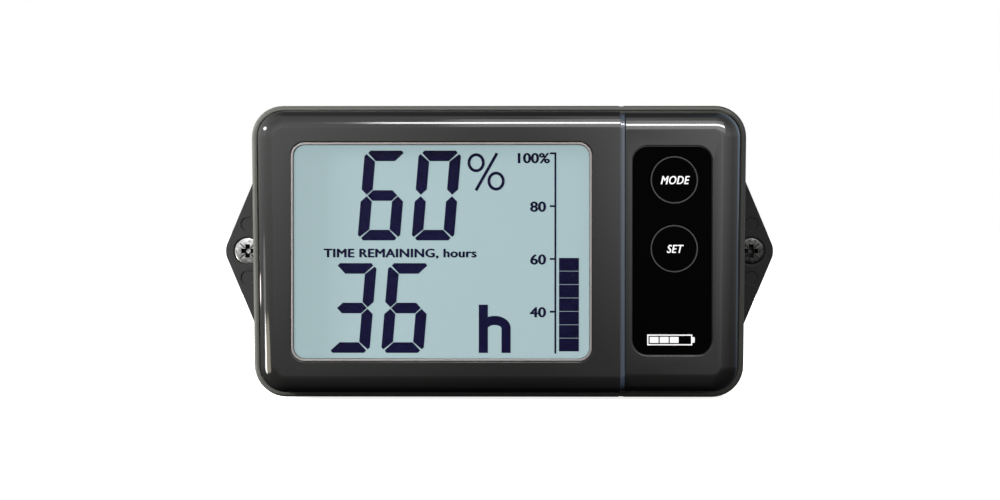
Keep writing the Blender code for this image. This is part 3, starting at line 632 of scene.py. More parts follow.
def make_wall_plate():
    """The hexagonal plate with countersunk holes, round marks, the cable hole and four hooks."""
    x, y = PLATE_SHOULDER_X, PLATE_HIGH.y
    upper_half = [(EAR_TIP_X, 0), (x, y), (-x, y)]
    lower_half = [(-px, -py) for px, py in upper_half]
    bm = bmesh.new()
    prism_into(bm, upper_half + lower_half, PLATE_LOW.z, PLATE_TOP_Z)
    round_upright_edges(bm, PLATE_CORNER, FINE)
    plate = helper(mesh_from(bm))
    hole_r = WALL_SCREW_R + SCREW_CLEARANCE
    sink_r = WALL_SCREW_HEAD_R + SCREW_CLEARANCE
    sink_z = PLATE_TOP_Z - (sink_r - hole_r)
    mark_z = PLATE_TOP_Z - EAR_MARK_DEPTH
    for x in (-WALL_SCREW_X, WALL_SCREW_X):
        cut(plate, disc(hole_r, -OUT, PLATE_TOP_Z, x))
        cut(plate, disc(hole_r, sink_z, PLATE_TOP_Z, x, front_radius=sink_r))
        for y in (EAR_MARK_Y, -EAR_MARK_Y):
            cut(plate, disc(EAR_MARK_R, mark_z, PLATE_TOP_Z + OUT, x, y))
    width, height = CABLE_HOLE_SIZE
    cut(plate, rounded(width, height, -OUT, PLATE_TOP_Z + OUT, CABLE_HOLE_CORNER, *SOCKET.xy))
    for x, y in HOOKS:
        join(plate, hook(x, y))
    piece(
        "hexagonal_wall_plate", plate, plate_plastic, ["wall_plate"],
        edge=0.25 * MM,
    )


def make_rear_housing():
    """The open tray: a rim with a shadow groove, pillars, board posts and openings at the back."""
    tray = helper(body_outline(0, BACK_Z, RIM_Z, RIM_ROUNDING, segments=10))
    floor_z = BACK_Z + BACK_WALL
    cut(tray, body_outline(RIM_WIDTH, floor_z, RIM_Z + OUT))
    groove_z = RIM_Z - SHADOW_GAP_DEPTH
    outer, inner = SHOULDER - SHADOW_GAP, SHOULDER + SHADOW_GAP
    groove = helper(body_outline(outer, groove_z, RIM_Z + OUT, step=SHADOW_GAP_STEP))
    cut(groove, body_outline(inner, groove_z - OUT, RIM_Z + 2 * OUT, step=SHADOW_GAP_STEP))
    cut(tray, groove)
    for y in (-BODY_HEIGHT / 2, BODY_HEIGHT / 2):
        low, high = y - SEAM_NOTCH_DEPTH, y + SEAM_NOTCH_DEPTH
        cut(tray, span(SEAM_X, CAP_X, low, high, floor_z, RIM_Z + OUT))
    for boss in BOSSES:
        join(tray, disc(PILLAR_R, floor_z - OUT, BOSS_Z - GAP, boss.x, boss.y))
        cut(tray, disc(SCREW_HOLE_R, BACK_Z - OUT, BOSS_Z + OUT, boss.x, boss.y, segments=32))
        cut(tray, disc(SCREW_SINK_R, BACK_Z - OUT, SCREW_SINK_Z, boss.x, boss.y))
    for x, y in BOARD_POSTS:
        join(tray, disc(BOARD_POST_R, floor_z - OUT, BOARD_BACK_Z - GAP, x, y, segments=32))
    width, height = HOOK_WIDTH + 2 * HOOK_CLEARANCE, HOOK_THICKNESS + 2 * HOOK_CLEARANCE
    for x, y in HOOKS:
        cut(tray, box(width, height, BACK_Z - OUT, floor_z + OUT, x, y))
    width, height = SOCKET_HIGH.x - SOCKET_LOW.x + 2 * GAP, SOCKET_HIGH.y - SOCKET_LOW.y + 2 * GAP
    cut(tray, box(width, height, BACK_Z - OUT, floor_z + OUT, *SOCKET.xy))
    piece("rear_housing_tray", tray, rear_plastic, ["rear_housing"], edge=0.12 * MM)


def make_housing_seal():
    low, high = panel_box("housing_seal")
    seal = helper(body_outline(SHOULDER + GAP, low.z, high.z, step=SIDE_STEP - GAP))
    inner = RIM_WIDTH - 0.1 * MM
    cut(seal, body_outline(inner, low.z - OUT, high.z + OUT))
    piece("rubber_housing_seal", seal, seal_rubber, ["housing_seal"], edge=0.1 * MM)


def slab(x0, x1):
    """All the space in front of the wall from x0 to x1."""
    return span(x0, x1, -FAR, FAR, 0, FAR)


def cavity(front_wall, wall_x0, wall_x1):
    """The hollow of a cover, less the wall that closes the cover at the seam."""
    hollow = helper(body_outline(
        SHOULDER + COVER_WALL, SKIRT_Z - OUT, FRONT_Z - front_wall, CAVITY_FILLET, COVER_DRAFT, 6,
        SIDE_STEP,
    ))
    return cut(hollow, span(wall_x0, wall_x1, -FAR, FAR, SEAM_WALL_Z, FRONT_Z + OUT))


def skirt():
    """The thin wall inside both covers that drops into the tray's rim."""
    inset = RIM_WIDTH + GAP
    wall = helper(body_outline(inset, SKIRT_Z, SKIRT_TOP_Z, segments=8))
    return cut(wall, body_outline(inset + SKIRT_WALL, SKIRT_Z - OUT, SKIRT_TOP_Z + OUT, segments=8))


def add_bosses(cover, bosses, inner_z):
    for boss in bosses:
        join(cover, disc(BOSS_R, BOSS_Z, inner_z + OUT / 2, boss.x, boss.y, segments=32))
        cut(cover, disc(SCREW_HOLE_R, BOSS_Z - OUT, BOSS_HOLE_Z, boss.x, boss.y, segments=24))


def window_plate(margin, z0, z1):
    """A plate with the window's outline, grown by a margin."""
    width, height = WINDOW_WIDTH + 2 * margin, WINDOW_HEIGHT + 2 * margin
    return rounded(width, height, z0, z1, WINDOW_CORNER + margin, *WINDOW_MIDDLE.xy)


def make_display_bezel():
    """The long front cover: pillowed edges, a dropped lip along the seam, the window's opening."""
    bezel = helper(body_outline(
        SHOULDER, COVER_Z, FRONT_Z, COVER_FILLET, COVER_DRAFT, step=SIDE_STEP
    ))
    keep_inside(bezel, slab(-FAR, SEAM_X))
    drop = SEAM_LIP_DROP
    lip = helper(body_outline(
        SHOULDER + drop, COVER_Z, FRONT_Z - drop, COVER_FILLET - drop, COVER_DRAFT, step=SIDE_STEP
    ))
    keep_inside(lip, slab(SEAM_X - 2 * SEAM_WALL, CAP_X - SEAM_SLIT))
    join(bezel, lip)
    cut(bezel, cavity(FRONT_WALL, SEAM_X - SEAM_WALL, FAR))
    join(bezel, keep_inside(skirt(), slab(-FAR, SEAM_X)))
    add_bosses(bezel, [boss for boss in BOSSES if boss.x < SEAM_X], FRONT_Z - FRONT_WALL)
    cut(bezel, window_plate(GAP, SKIRT_TOP_Z, FRONT_Z + OUT))
    pocket = TRIM_MARGIN + TRIM_WIDTH + TRIM_CLEARANCE
    cut(bezel, window_plate(pocket, TRIM_LOW.z - TRIM_CLEARANCE, FRONT_Z + OUT))
    piece(
        "gloss_display_bezel", bezel, housing_plastic, ["display_bezel"],
        edge=COVER_EDGE,
    )


def panel_plate(margin, z0, z1):
    """A plate with the key panel's outline, grown by a margin."""
    width = PANEL_HIGH.x - PANEL_LOW.x + 2 * margin
    height = PANEL_HIGH.y - PANEL_LOW.y + 2 * margin
    return rounded(width, height, z0, z1, PANEL_CORNER + margin, *PANEL_MIDDLE.xy)


def make_key_end_cap():
    """The short front cover, with the key panel's pocket and the holes for the keys."""
    front_z = FRONT_Z - CAP_DROP
    cap = helper(body_outline(
        SHOULDER + CAP_DROP, COVER_Z, front_z, CAP_FILLET, COVER_DRAFT, step=CAP_SIDE_STEP
    ))
    keep_inside(cap, slab(CAP_X, FAR))
    cut(cap, cavity(CAP_FRONT_WALL + CAP_DROP, 0, CAP_X + SEAM_WALL))
    join(cap, keep_inside(skirt(), slab(CAP_X, FAR)))
    inner_z = FRONT_Z - CAP_FRONT_WALL - CAP_DROP
    add_bosses(cap, [boss for boss in BOSSES if boss.x > SEAM_X], inner_z)
    floor_z = panel_box("key_panel_adhesive")[0].z - POCKET_CLEARANCE
    cut(cap, panel_plate(PANEL_GAP, floor_z, FRONT_Z + OUT))
    for key in KEYS.values():
        cut(cap, disc(KEY_R + GAP, inner_z - OUT, floor_z + OUT, key.x, key.y))
    piece("gloss_key_end_cap", cap, housing_plastic, ["key_end_cap"], edge=COVER_EDGE)


# --- Screws ---
# Head radius, shank radius, height of the head and length of the recess.
COVER_SCREW = (1.9 * MM, 1 * MM, 1.4 * MM, 2.2 * MM)
BOARD_SCREW = (1.5 * MM, 0.65 * MM, 1.1 * MM, 1.6 * MM)


def thread(pitch, depth, z0, z1):
    """A right-hand thread between z0 and z1, fading out at both ends."""
    def wave(z, angle):
        turn = (z / pitch - angle / (2 * math.pi)) % 1
        fade = min(1, max(0, (z - z0) / pitch), max(0, (z1 - z) / pitch))
        return -depth * fade * min(1, 2.4 * abs(turn - 0.5))
    return wave


def cross_recess(head_z, length, width, depth):
    """Two crossed tapering slots, as cutters."""
    cutters = []
    for turn in (0, math.pi / 2):
        bm = box_bmesh(length, width, head_z - depth, head_z + OUT)
        low = [v for v in bm.verts if v.co.z < head_z]
        bmesh.ops.scale(bm, vec=(0.55, 0.8, 1), verts=low)
        cutters.append(moved(mesh_from(bm), turn=turn))
    return cutters


def make_wall_screw(side, make_look):
    """A raised countersunk screw with a cross recess, four tick marks and a thread."""
    node = f"wall_screw_{side}"
    low, high = panel_box(node)
    x = middle(node).x
    head_z = high.z
    neck_z = head_z - (WALL_SCREW_HEAD_R - WALL_SCREW_R)
    rows, dome_rows = 110, 8
    dome = 0.25 * MM
    edge_z = head_z - 0.05 * MM
    point, tip_r = 2.5 * MM, 0.02 * MM
    profile = [(tip_r, low.z)]
    for i in range(rows):
        z = low.z + (neck_z - low.z) * (i + 0.5) / rows
        profile.append((WALL_SCREW_R * min(1, 0.12 + (z - low.z) / point), z))
    profile += [(WALL_SCREW_R, neck_z), (WALL_SCREW_HEAD_R - 0.05 * MM, head_z - 0.1 * MM)]
    for i in range(dome_rows):
        angle = math.pi / 2 * i / dome_rows
        profile.append((WALL_SCREW_HEAD_R * math.cos(angle), edge_z + dome * math.sin(angle)))
    pitch, thread_depth, plain_neck = 1.6 * MM, 0.45 * MM, 1.2 * MM
    wave = thread(pitch, thread_depth, low.z, neck_z - plain_neck)
    screw = helper(turned(profile, wave=wave))
    slot_length, slot_width, slot_depth = 4.2 * MM, 1.35 * MM, 1.7 * MM
    cut(screw, *cross_recess(head_z + dome, slot_length, slot_width, slot_depth))
    pit_r, pit_depth = 0.6 * MM, 2.3 * MM
    cut(screw, disc(pit_r, head_z - pit_depth, head_z))
    tick_length, tick_width, tick_depth, tick_x = 1.6 * MM, 0.3 * MM, 0.15 * MM, 1.9 * MM
    for i in range(4):
        tick = box(tick_length, tick_width, head_z - tick_depth, head_z + OUT, tick_x)
        cut(screw, moved(tick, turn=math.pi / 4 + i * math.pi / 2))
    screw = moved(baked(screw), x)
    piece(f"threaded_wall_screw_{side}", screw, make_look, [node])


def make_pan_screw(node, head_r, shank_r, head, recess):
    """A pan-head screw that points out of the wall, its recess at the back."""
    low, high = panel_box(node)
    x, y = middle(node).xy
    head_top = low.z
    seat_z = low.z + head
    profile = [(0.4 * head_r, head_top)]
    head_rows, rows = 6, 60
    for i in range(1, head_rows + 1):
        angle = math.pi / 2 * i / head_rows
        radius = head_r * (0.4 + 0.6 * math.sin(angle))
        profile.append((radius, head_top + 0.6 * head * (1 - math.cos(angle))))
    profile += [(head_r, seat_z), (shank_r, seat_z + 0.02 * MM)]
    tip = 2 * shank_r
    start_z = seat_z + 0.04 * MM
    for i in range(rows):
        z = start_z + (high.z - start_z) * (i + 1) / rows
        profile.append((shank_r * min(1, 0.25 + (high.z - z) / tip), z))
    wave = thread(0.35 * shank_r + 0.3 * MM, 0.22 * shank_r, seat_z, high.z)
    screw = helper(turned(profile, segments=32, wave=wave))
    for cutter in cross_recess(0, recess, 0.28 * recess, 0.35 * recess):
        cutter.transform(Matrix.Translation((0, 0, head_top)) @ Matrix.Rotation(math.pi, 4, "X"))
        cut(screw, cutter)
    screw = moved(baked(screw), x, y)
    piece(f"threaded_{node}", screw, zinc_steel, [node])


# --- Display ---
def make_window():
    """The clear lens with its flange, and the trim ring set round it."""
    width, height = (WINDOW_HIGH - WINDOW_LOW).xy
    flange = helper(rounded(
        width, height, WINDOW_LOW.z, WINDOW_STEP_Z, WINDOW_FLANGE_CORNER, *WINDOW_MIDDLE.xy
    ))
    join(flange, window_plate(0, WINDOW_STEP_Z - OUT / 2, WINDOW_HIGH.z))
    piece(
        "clear_display_window", flange, window_acrylic, ["display_window"],
        edge=0.15 * MM,
    )
    trim = helper(window_plate(TRIM_MARGIN + TRIM_WIDTH, TRIM_LOW.z, TRIM_HIGH.z))
    cut(trim, window_plate(TRIM_MARGIN, TRIM_LOW.z - OUT, TRIM_HIGH.z + OUT))
    piece("silver_window_trim", trim, trim_silver, ["window_trim"], edge=0.12 * MM)


# Seven-segment digits, drawn upright and then leant over. Letters name the segments clockwise from
# the top, and g is the middle one.
DIGIT_WIDTH = 10.65 * MM
DIGIT_HEIGHT = 22.5 * MM
DIGIT_PITCH = 13.55 * MM
BAR_THICKNESS = 2.65 * MM
POST_THICKNESS = 2.8 * MM
DIGIT_CHAMFER = 1.25 * MM
DIGIT_SLIT = 0.12 * MM  # half of the gap between two segments
DIGIT_LEAN = 0.085
SEGMENTS = {"0": "abcdef", "3": "abcdg", "6": "acdefg"}
PRINT_Z0 = SCREEN_Z + 0.03 * MM
PRINT_Z1 = SCREEN_Z + 0.1 * MM
CAPITAL_HEIGHT = 0.73  # of the carried font, as a share of its size
BOLD = 0.15 * MM  # how far a bold letter's copies stand off
COPY_STEP = 0.004 * MM  # between copies of a letter, so that no two faces coincide


def top_bar():
    """Segment a, as (distance from the left, distance from the top)."""
    left = [
        (DIGIT_CHAMFER * 0.6 + DIGIT_SLIT, DIGIT_CHAMFER * 0.4 + DIGIT_SLIT),
        (DIGIT_CHAMFER + DIGIT_SLIT, 0),
    ]
    right = [(DIGIT_WIDTH - x, y) for x, y in reversed(left)]
    inner = POST_THICKNESS + DIGIT_SLIT
    return left + right + [(DIGIT_WIDTH - inner, BAR_THICKNESS), (inner, BAR_THICKNESS)]


def upper_left_post():
    """Segment f."""
    waist = DIGIT_HEIGHT / 2
    foot = waist - POST_THICKNESS / 2 - DIGIT_SLIT
    return [
        (DIGIT_CHAMFER * 0.4, DIGIT_CHAMFER * 0.6 + DIGIT_SLIT), (0, DIGIT_CHAMFER + DIGIT_SLIT),
        (0, foot), (POST_THICKNESS / 2, waist - DIGIT_SLIT * 1.5), (POST_THICKNESS, foot),
        (POST_THICKNESS, BAR_THICKNESS + DIGIT_SLIT),
    ]


def middle_bar():
    """Segment g."""
    waist = DIGIT_HEIGHT / 2
    half = BAR_THICKNESS / 2
    tip = POST_THICKNESS / 2 + 1.5 * DIGIT_SLIT
    left = [(tip + half, waist + half), (tip, waist), (tip + half, waist - half)]
    return left + [(DIGIT_WIDTH - x, y) for x, y in reversed(left)]


def segment(letter):
    """One segment's outline: a, f and g, or one of them mirrored."""
    outline = {"a": top_bar, "d": top_bar, "g": middle_bar}.get(letter, upper_left_post)()
    if letter in "bc":
        outline = [(DIGIT_WIDTH - x, y) for x, y in outline]
    if letter in "cde":
        outline = [(x, DIGIT_HEIGHT - y) for x, y in outline]
    return outline


def digit_outlines(text, x, y):
    """The segments of a number whose first digit's lower left corner is at x, y."""
    outlines = []
    for place, digit in enumerate(text):
        left = x + place * DIGIT_PITCH
        for letter in SEGMENTS[digit]:
            outline = [(px, DIGIT_HEIGHT - py) for px, py in segment(letter)]
            outlines.append([(left + px + DIGIT_LEAN * py, y + py) for px, py in outline])
    return outlines


def rect(x0, x1, y0, y1):
    return [(x0, y0), (x1, y0), (x1, y1), (x0, y1)]


def arc(x, y, radius_x, radius_y, start, end):
    """Points on an ellipse, anticlockwise from start to end in degrees."""
    steps = 24
    angles = [math.radians(start + (end - start) * i / steps) for i in range(steps + 1)]
    return [(x + radius_x * math.cos(a), y + radius_y * math.sin(a)) for a in angles]


def stroke(points, width):
    """The outline of a line of that width through points, with square ends."""
    left, right = [], []
    for i, point in enumerate(points):
        before = Vector(points[max(0, i - 1)])
        after = Vector(points[min(len(points) - 1, i + 1)])
        along = (after - before).normalized()
        side = Vector((-along.y, along.x)) * width / 2
        left.append(tuple(Vector(point) + side))
        right.append(tuple(Vector(point) - side))
    return left + right[::-1]


def lettering(
    text, height, x, y, bold, z0=PRINT_Z0, z1=PRINT_Z1, lean=0, align="LEFT", stretch=1, spacing=1
):
    """Flat letters with capitals of that height. Copies moved by bold make the strokes heavier."""
    curve = bpy.data.curves.new("lettering", "FONT")
    curve.body = text
    curve.size = height / CAPITAL_HEIGHT
    curve.space_character = spacing
    curve.align_x = align
    curve.shear = lean
    curve.extrude = (z1 - z0) / 2
    curve.resolution_u = 4
    letters = baked(helper(curve))
    letters.transform(Matrix.Diagonal((stretch, 1, 1, 1)))
    copies = []
    z = (z0 + z1) / 2
    for shift_x, shift_y in ((-bold, 0), (0, bold / 2), (bold, 0), (0, -bold / 2)):
        copies.append(moved(letters.copy(), x + shift_x, y + shift_y, z))
        z += COPY_STEP
    return merged(*copies)


def merged(*meshes):
    bm = bmesh.new()
    for mesh in meshes:
        bm.from_mesh(mesh)
    whole = bpy.data.meshes.new("merged")
    bm.to_mesh(whole)
    bm.free()
    return whole


def printed(outlines):
    """Flat outlines as ink on the display."""
    return prisms(outlines, PRINT_Z0, PRINT_Z1)


def display_piece(name, *meshes):
    return piece(name, merged(*meshes), segment_ink)


UPPER_ROW = (-35.33 * MM, 2.9 * MM)
LOWER_ROW = (-42.98 * MM, -25.3 * MM)


def make_digits():
    display_piece("charge_digits", printed(digit_outlines("60", *UPPER_ROW)))
    display_piece("hours_digits", printed(digit_outlines("36", *LOWER_ROW)))


def make_percent_sign():
    """Two rings and a slanting stroke, right of the upper number."""
    line = 0.75 * MM
    radius_x, radius_y = 1.8 * MM, 2 * MM
    outlines = []
    for x, y in ((-5.54 * MM, 22.35 * MM), (-0.55 * MM, 17.75 * MM)):
        ring = arc(x, y, radius_x, radius_y, 0, 180)
        outlines.append(stroke(ring, line))
        outlines.append(stroke([(2 * x - px, 2 * y - py) for px, py in ring], line))
    outlines.append(stroke([(-5.61 * MM, 15.4 * MM), (-0.31 * MM, 24.75 * MM)], line))
    display_piece("percent_sign", printed(outlines))


def make_hours_letter():
    """The lower-case h, right of the lower number."""
    left, bottom, top = -4.9 * MM, -25.3 * MM, -13.2 * MM
    stem = 2.3 * MM
    width = 8 * MM
    arch_top = -16 * MM
    arch_height = 3.1 * MM
    arch_y = arch_top - arch_height
    overlap = 0.3 * MM
    stems = [
        rect(left, left + stem, bottom, top),
        rect(left + width - stem, left + width, bottom, arch_y + overlap),
    ]
    bend = arc(left + width / 2, arch_y, (width - stem) / 2, arch_height - stem / 2, 0, 150)
    arch = stroke(bend, stem)
    display_piece("hours_letter", printed(stems), prisms([arch], PRINT_Z0, PRINT_Z1 - COPY_STEP))


SCALE_X = 14.3 * MM
SCALE_TOP = 24.7 * MM
SCALE_BOTTOM = -25.45 * MM
SCALE_STEP = 13.22 * MM


def make_charge_scale():
    """A vertical line with a tick and a number every fifth of the charge."""
    line = 0.48 * MM
    tick_length = 1.4 * MM
    height = 2.6 * MM
    outlines = [rect(SCALE_X - line / 2, SCALE_X + line / 2, SCALE_BOTTOM, SCALE_TOP + line / 2)]
    labels = []
    for place, text in enumerate(("100%", "80", "60", "40")):
        y = SCALE_TOP - place * SCALE_STEP
        outlines.append(rect(SCALE_X - tick_length, SCALE_X - line / 2, y - line / 2, y + line / 2))
        # The top number hangs under its tick; the others are level with theirs.
        gap, drop = (tick_length, 0.93) if place == 0 else (2.35 * MM, 0.52)
        label_x, label_y = SCALE_X - gap, y - drop * height
        labels.append(lettering(text, height, label_x, label_y, BOLD, align="RIGHT", stretch=1.12))
    display_piece("charge_scale", printed(outlines), *labels)


def make_bar_graph():
    """Seven blocks that fill from the bottom."""
    left, right = 15.2 * MM, 20.2 * MM
    block = 3.26 * MM
    pitch = 3.36 * MM
    bottom = -24.9 * MM
    outlines = [rect(left, right, bottom + i * pitch, bottom + i * pitch + block) for i in range(7)]
    display_piece("charge_bar_graph", printed(outlines))


def make_caption():
    x, y = -43.72 * MM, -1.3 * MM
    height = 2.2 * MM
    text = "TIME REMAINING, hours"
    caption = lettering(text, height, x, y, BOLD, stretch=1.145, spacing=1.05)
    display_piece("time_caption", caption)


# --- Keys ---
def make_key_panel():
    """The black panel with its two key holes."""
    panel = helper(panel_plate(0, PANEL_LOW.z, PANEL_HIGH.z))
    hole_r = KEY_R + KEY_CLEARANCE
    for key in KEYS.values():
        cut(panel, disc(hole_r, PANEL_LOW.z - OUT, PANEL_HIGH.z + OUT, key.x, key.y, segments=96))
    piece("black_key_panel", panel, key_lacquer, ["key_panel"], edge=0.15 * MM)


def make_battery_sign():
    """A plain battery outline with three cells filled, printed on the panel."""
    z0 = PANEL_HIGH.z - 0.01 * MM
    z1 = PANEL_HIGH.z + 0.03 * MM
    x, y = PANEL_MIDDLE.x - 0.6 * MM, -21.8 * MM
    half_width, half_height = 5.6 * MM, 1.35 * MM
    left, right = x - half_width, x + half_width
    low, high = y - half_height, y + half_height
    line, gap, cell, terminal = 0.3 * MM, 0.3 * MM, 2.2 * MM, 0.6 * MM
    outlines = [
        rect(left, right, high - line, high),
        rect(left, right, low, low + line),
        rect(left, left + line, low + line, high - line),
        rect(right - line, right, low + line, high - line),
        rect(right, right + terminal, y - half_height / 2, y + half_height / 2),
    ]
    inset = line + gap
    for i in range(3):
        start = left + inset + i * (cell + gap)
        outlines.append(rect(start, start + cell, low + inset, high - inset))
    piece("battery_sign", prisms(outlines, z0, z1), white_print)


def make_key(body, text):
    """A key turned from one profile, with its plunger and flange, a grey ring and a legend."""
    node = f"{body}_cap"
    low, high = panel_box(node)
    x, y = KEYS[body].xy
    flange_top = FRONT_Z - CAP_FRONT_WALL - CAP_DROP - GAP
    flange_low = flange_top - 1.1 * MM
    plunger_r = 1.7 * MM
    front = high.z
    edge, corner = 0.18 * MM, 0.1 * MM
    profile = [
        (plunger_r - corner, low.z), (plunger_r, low.z + corner), (plunger_r, flange_low),
        (KEY_FLANGE_R - corner, flange_low), (KEY_FLANGE_R, flange_low + corner),
        (KEY_FLANGE_R, flange_top - corner), (KEY_FLANGE_R - corner, flange_top),
        (KEY_R, flange_top), (KEY_R, front - edge),
    ]
    rows = 4
    for i in range(1, rows + 1):
        angle = math.pi / 2 * i / rows
        x_out, z_out = edge * math.cos(angle), edge * math.sin(angle)
        profile.append((KEY_R - edge + x_out, front - edge + z_out))
    cap = moved(turned(profile, segments=96), x, y)
    piece(f"{body}_gloss_cap", cap, key_lacquer, [node], body=body)
    ring_z0, ring_z1 = front - 0.02 * MM, front + 0.03 * MM
    outer, inner = KEY_R - 0.05 * MM, KEY_R - 0.36 * MM
    ring = helper(moved(disc(outer, ring_z0, ring_z1, segments=96), x, y))
    cut(ring, moved(disc(inner, ring_z0 - OUT, ring_z1 + OUT, segments=96), x, y))
    piece(f"{body}_ring", ring, grey_print, body=body)
    height, bold = 2.1 * MM, 0.07 * MM
    legend = lettering(
        text, height, x, y - height / 2, bold, front - 0.01 * MM, front + 0.03 * MM, lean=0.25,
        align="CENTER", stretch=0.8, spacing=1.1,
    )
    piece(f"{body}_legend", legend, white_print, body=body)


# --- Inside ---
INNER_LOOKS = {
    "backlight_diffuser": milky_plastic, "buffer_capacitor": zinc_steel,
    "circuit_board": solder_mask, "key_panel_adhesive": black_tape,
    "lcd_front_glass": cell_glass, "lcd_front_polariser": polariser_film,
    "lcd_holder": milky_plastic, "lcd_rear_glass": cell_glass, "lcd_rear_polariser": polariser_film,
    "lead_socket": dark_package, "microcontroller": dark_package, "quartz_crystal": zinc_steel,
    "shunt_amplifier": dark_package, "voltage_regulator": dark_package, "window_tape": black_tape,
    "zebra_strip": zebra_rubber,
}
for side in ("lower", "upper"):
    INNER_LOOKS[f"{side}_switch_body"] = dark_package
    INNER_LOOKS[f"{side}_switch_dome"] = contact_tin
    INNER_LOOKS[f"{side}_switch_stem"] = milky_plastic
for number in range(1, 5):
    INNER_LOOKS[f"backlight_led_{number}"] = milky_plastic
    INNER_LOOKS[f"socket_pin_{number}"] = contact_tin


def finish_inner_nodes():
    """Materials and rounded edges for the CAD nodes that stay."""
    for node, make in INNER_LOOKS.items():
        obj = frame["nodes"][node]
        obj.data.materials.clear()
        obj.data.materials.append(look(make))
        weld = obj.modifiers.new("weld", "WELD")
        weld.merge_threshold = WELD
        low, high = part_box(node)
        soften(obj, 0.12 * min(high - low))


# --- Studio ---
WHITE = grey(1)
ROOM_STRENGTH = 1.4
# The room's brightness or colour by bearing from the camera's side, in degrees to the right.
ROOM_BY_BEARING = (
    (-180, 0.06), (-150, 0.2), (-120, 0.5), (-90, 0.7), (-60, 0.7), (-30, 0.75), (-7, 1.05),
    (0, 0.42), (7, 1.75), (14, 1.2), (30, 1.1), (55, 0.9), (78, 0.62), (100, 0.55), (115, 0.42),
    (130, (0.38, 0.47, 0.6)), (152, (0.28, 0.36, 0.48)), (170, 0.1), (180, 0.06),
)
# Its brightness by the sine of the angle above the level.
ROOM_BY_HEIGHT = (
    (-1, 0.03), (-0.3, 0.05), (-0.12, 0.12), (-0.07, 0.22), (0.03, 1), (0.15, 1.2), (0.4, 1),
    (0.7, 0.7), (1, 0.6),
)


def make_camera():
    """Almost square to the face, a little to the right of its middle and a little above it."""
    distance = 612 * MM
    bearing = math.radians(0.7)
    elevation = math.radians(0.8)
    target = Vector((0.326 * MM, -RIM_Z, 0.38 * MM))
    level = math.cos(elevation)
    back = Vector((level * math.sin(bearing), -level * math.cos(bearing), math.sin(elevation)))
    data = bpy.data.cameras.new("camera")
    data.lens = 86.74
    data.sensor_width = 36
    data.clip_start = 0.01
    data.clip_end = 20
    camera = add_object("camera", data)
    camera.location = target + distance * back
    camera.rotation_mode = "QUATERNION"
    camera.rotation_quaternion = (-back).to_track_quat("-Z", "Y")
    bpy.context.scene.camera = camera


def make_card(name, place, target, width, height, power, colour=WHITE, shape="RECTANGLE"):
    """A bright card that faces target and shows only as its reflection. Its width runs level."""
    data = bpy.data.lights.new(name, "AREA")
    data.shape = shape
    data.size = width
    data.size_y = height
    data.energy = power
    data.color = colour
    light = add_object(name, data)
    light.location = place
    light.rotation_mode = "QUATERNION"
    light.rotation_quaternion = (Vector(target) - Vector(place)).to_track_quat("-Z", "Y")
    light.visible_camera = False
    light.visible_diffuse = False
    return light


def ramp(nodes, stops, low, high):
    """A colour ramp over low to high, given as (place, brightness or colour) pairs."""
    made = nodes.new("ShaderNodeValToRGB")
    elements = made.color_ramp.elements
    while len(elements) < len(stops):
        elements.new(0.5)
    for element, (place, value) in zip(elements, stops):
        element.position = (place - low) / (high - low)
        colour = value if isinstance(value, tuple) else grey(value)
        element.color = (*colour, 1)
    return made


def make_world():
    """White behind the object, and a dim room that lights it and reflects in it."""
    world = bpy.data.worlds.new("studio")
    bpy.context.scene.world = world
    world.use_nodes = True
    nodes = world.node_tree.nodes
    links = world.node_tree.links
    direction = nodes.new("ShaderNodeTexCoord")
    parts = nodes.new("ShaderNodeSeparateXYZ")
    links.new(direction.outputs["Generated"], parts.inputs["Vector"])
    ahead = add_node(nodes, "ShaderNodeMath", {1: -1})
    ahead.operation = "MULTIPLY"
    links.new(parts.outputs["Y"], ahead.inputs[0])
    bearing = nodes.new("ShaderNodeMath")
    bearing.operation = "ARCTAN2"
    links.new(parts.outputs["X"], bearing.inputs[0])
    links.new(ahead.outputs["Value"], bearing.inputs[1])
    across = add_node(nodes, "ShaderNodeMapRange", {"From Min": -math.pi, "From Max": math.pi})
    links.new(bearing.outputs["Value"], across.inputs["Value"])
    walls = ramp(nodes, ROOM_BY_BEARING, -180, 180)
    links.new(across.outputs["Result"], walls.inputs["Fac"])
    up = add_node(nodes, "ShaderNodeMapRange", {"From Min": -1, "From Max": 1})
    links.new(parts.outputs["Z"], up.inputs["Value"])
    heights = ramp(nodes, ROOM_BY_HEIGHT, -1, 1)
    links.new(up.outputs["Result"], heights.inputs["Fac"])
    both = nodes.new("ShaderNodeMix")
    both.data_type = "RGBA"
    both.blend_type = "MULTIPLY"
    both.inputs["Factor"].default_value = 1
    links.new(walls.outputs["Color"], both.inputs["A"])
    links.new(heights.outputs["Color"], both.inputs["B"])
    room = nodes["Background"]
    room.inputs["Strength"].default_value = ROOM_STRENGTH
    links.new(both.outputs["Result"], room.inputs["Color"])
    white = add_node(nodes, "ShaderNodeBackground", {"Color": (1, 1, 1, 1)})
    path = nodes.new("ShaderNodeLightPath")
    choose = nodes.new("ShaderNodeMixShader")
    links.new(path.outputs["Is Camera Ray"], choose.inputs["Fac"])
    links.new(room.outputs["Background"], choose.inputs[1])
    links.new(white.outputs["Background"], choose.inputs[2])
    links.new(choose.outputs["Shader"], nodes["World Output"].inputs["Surface"])


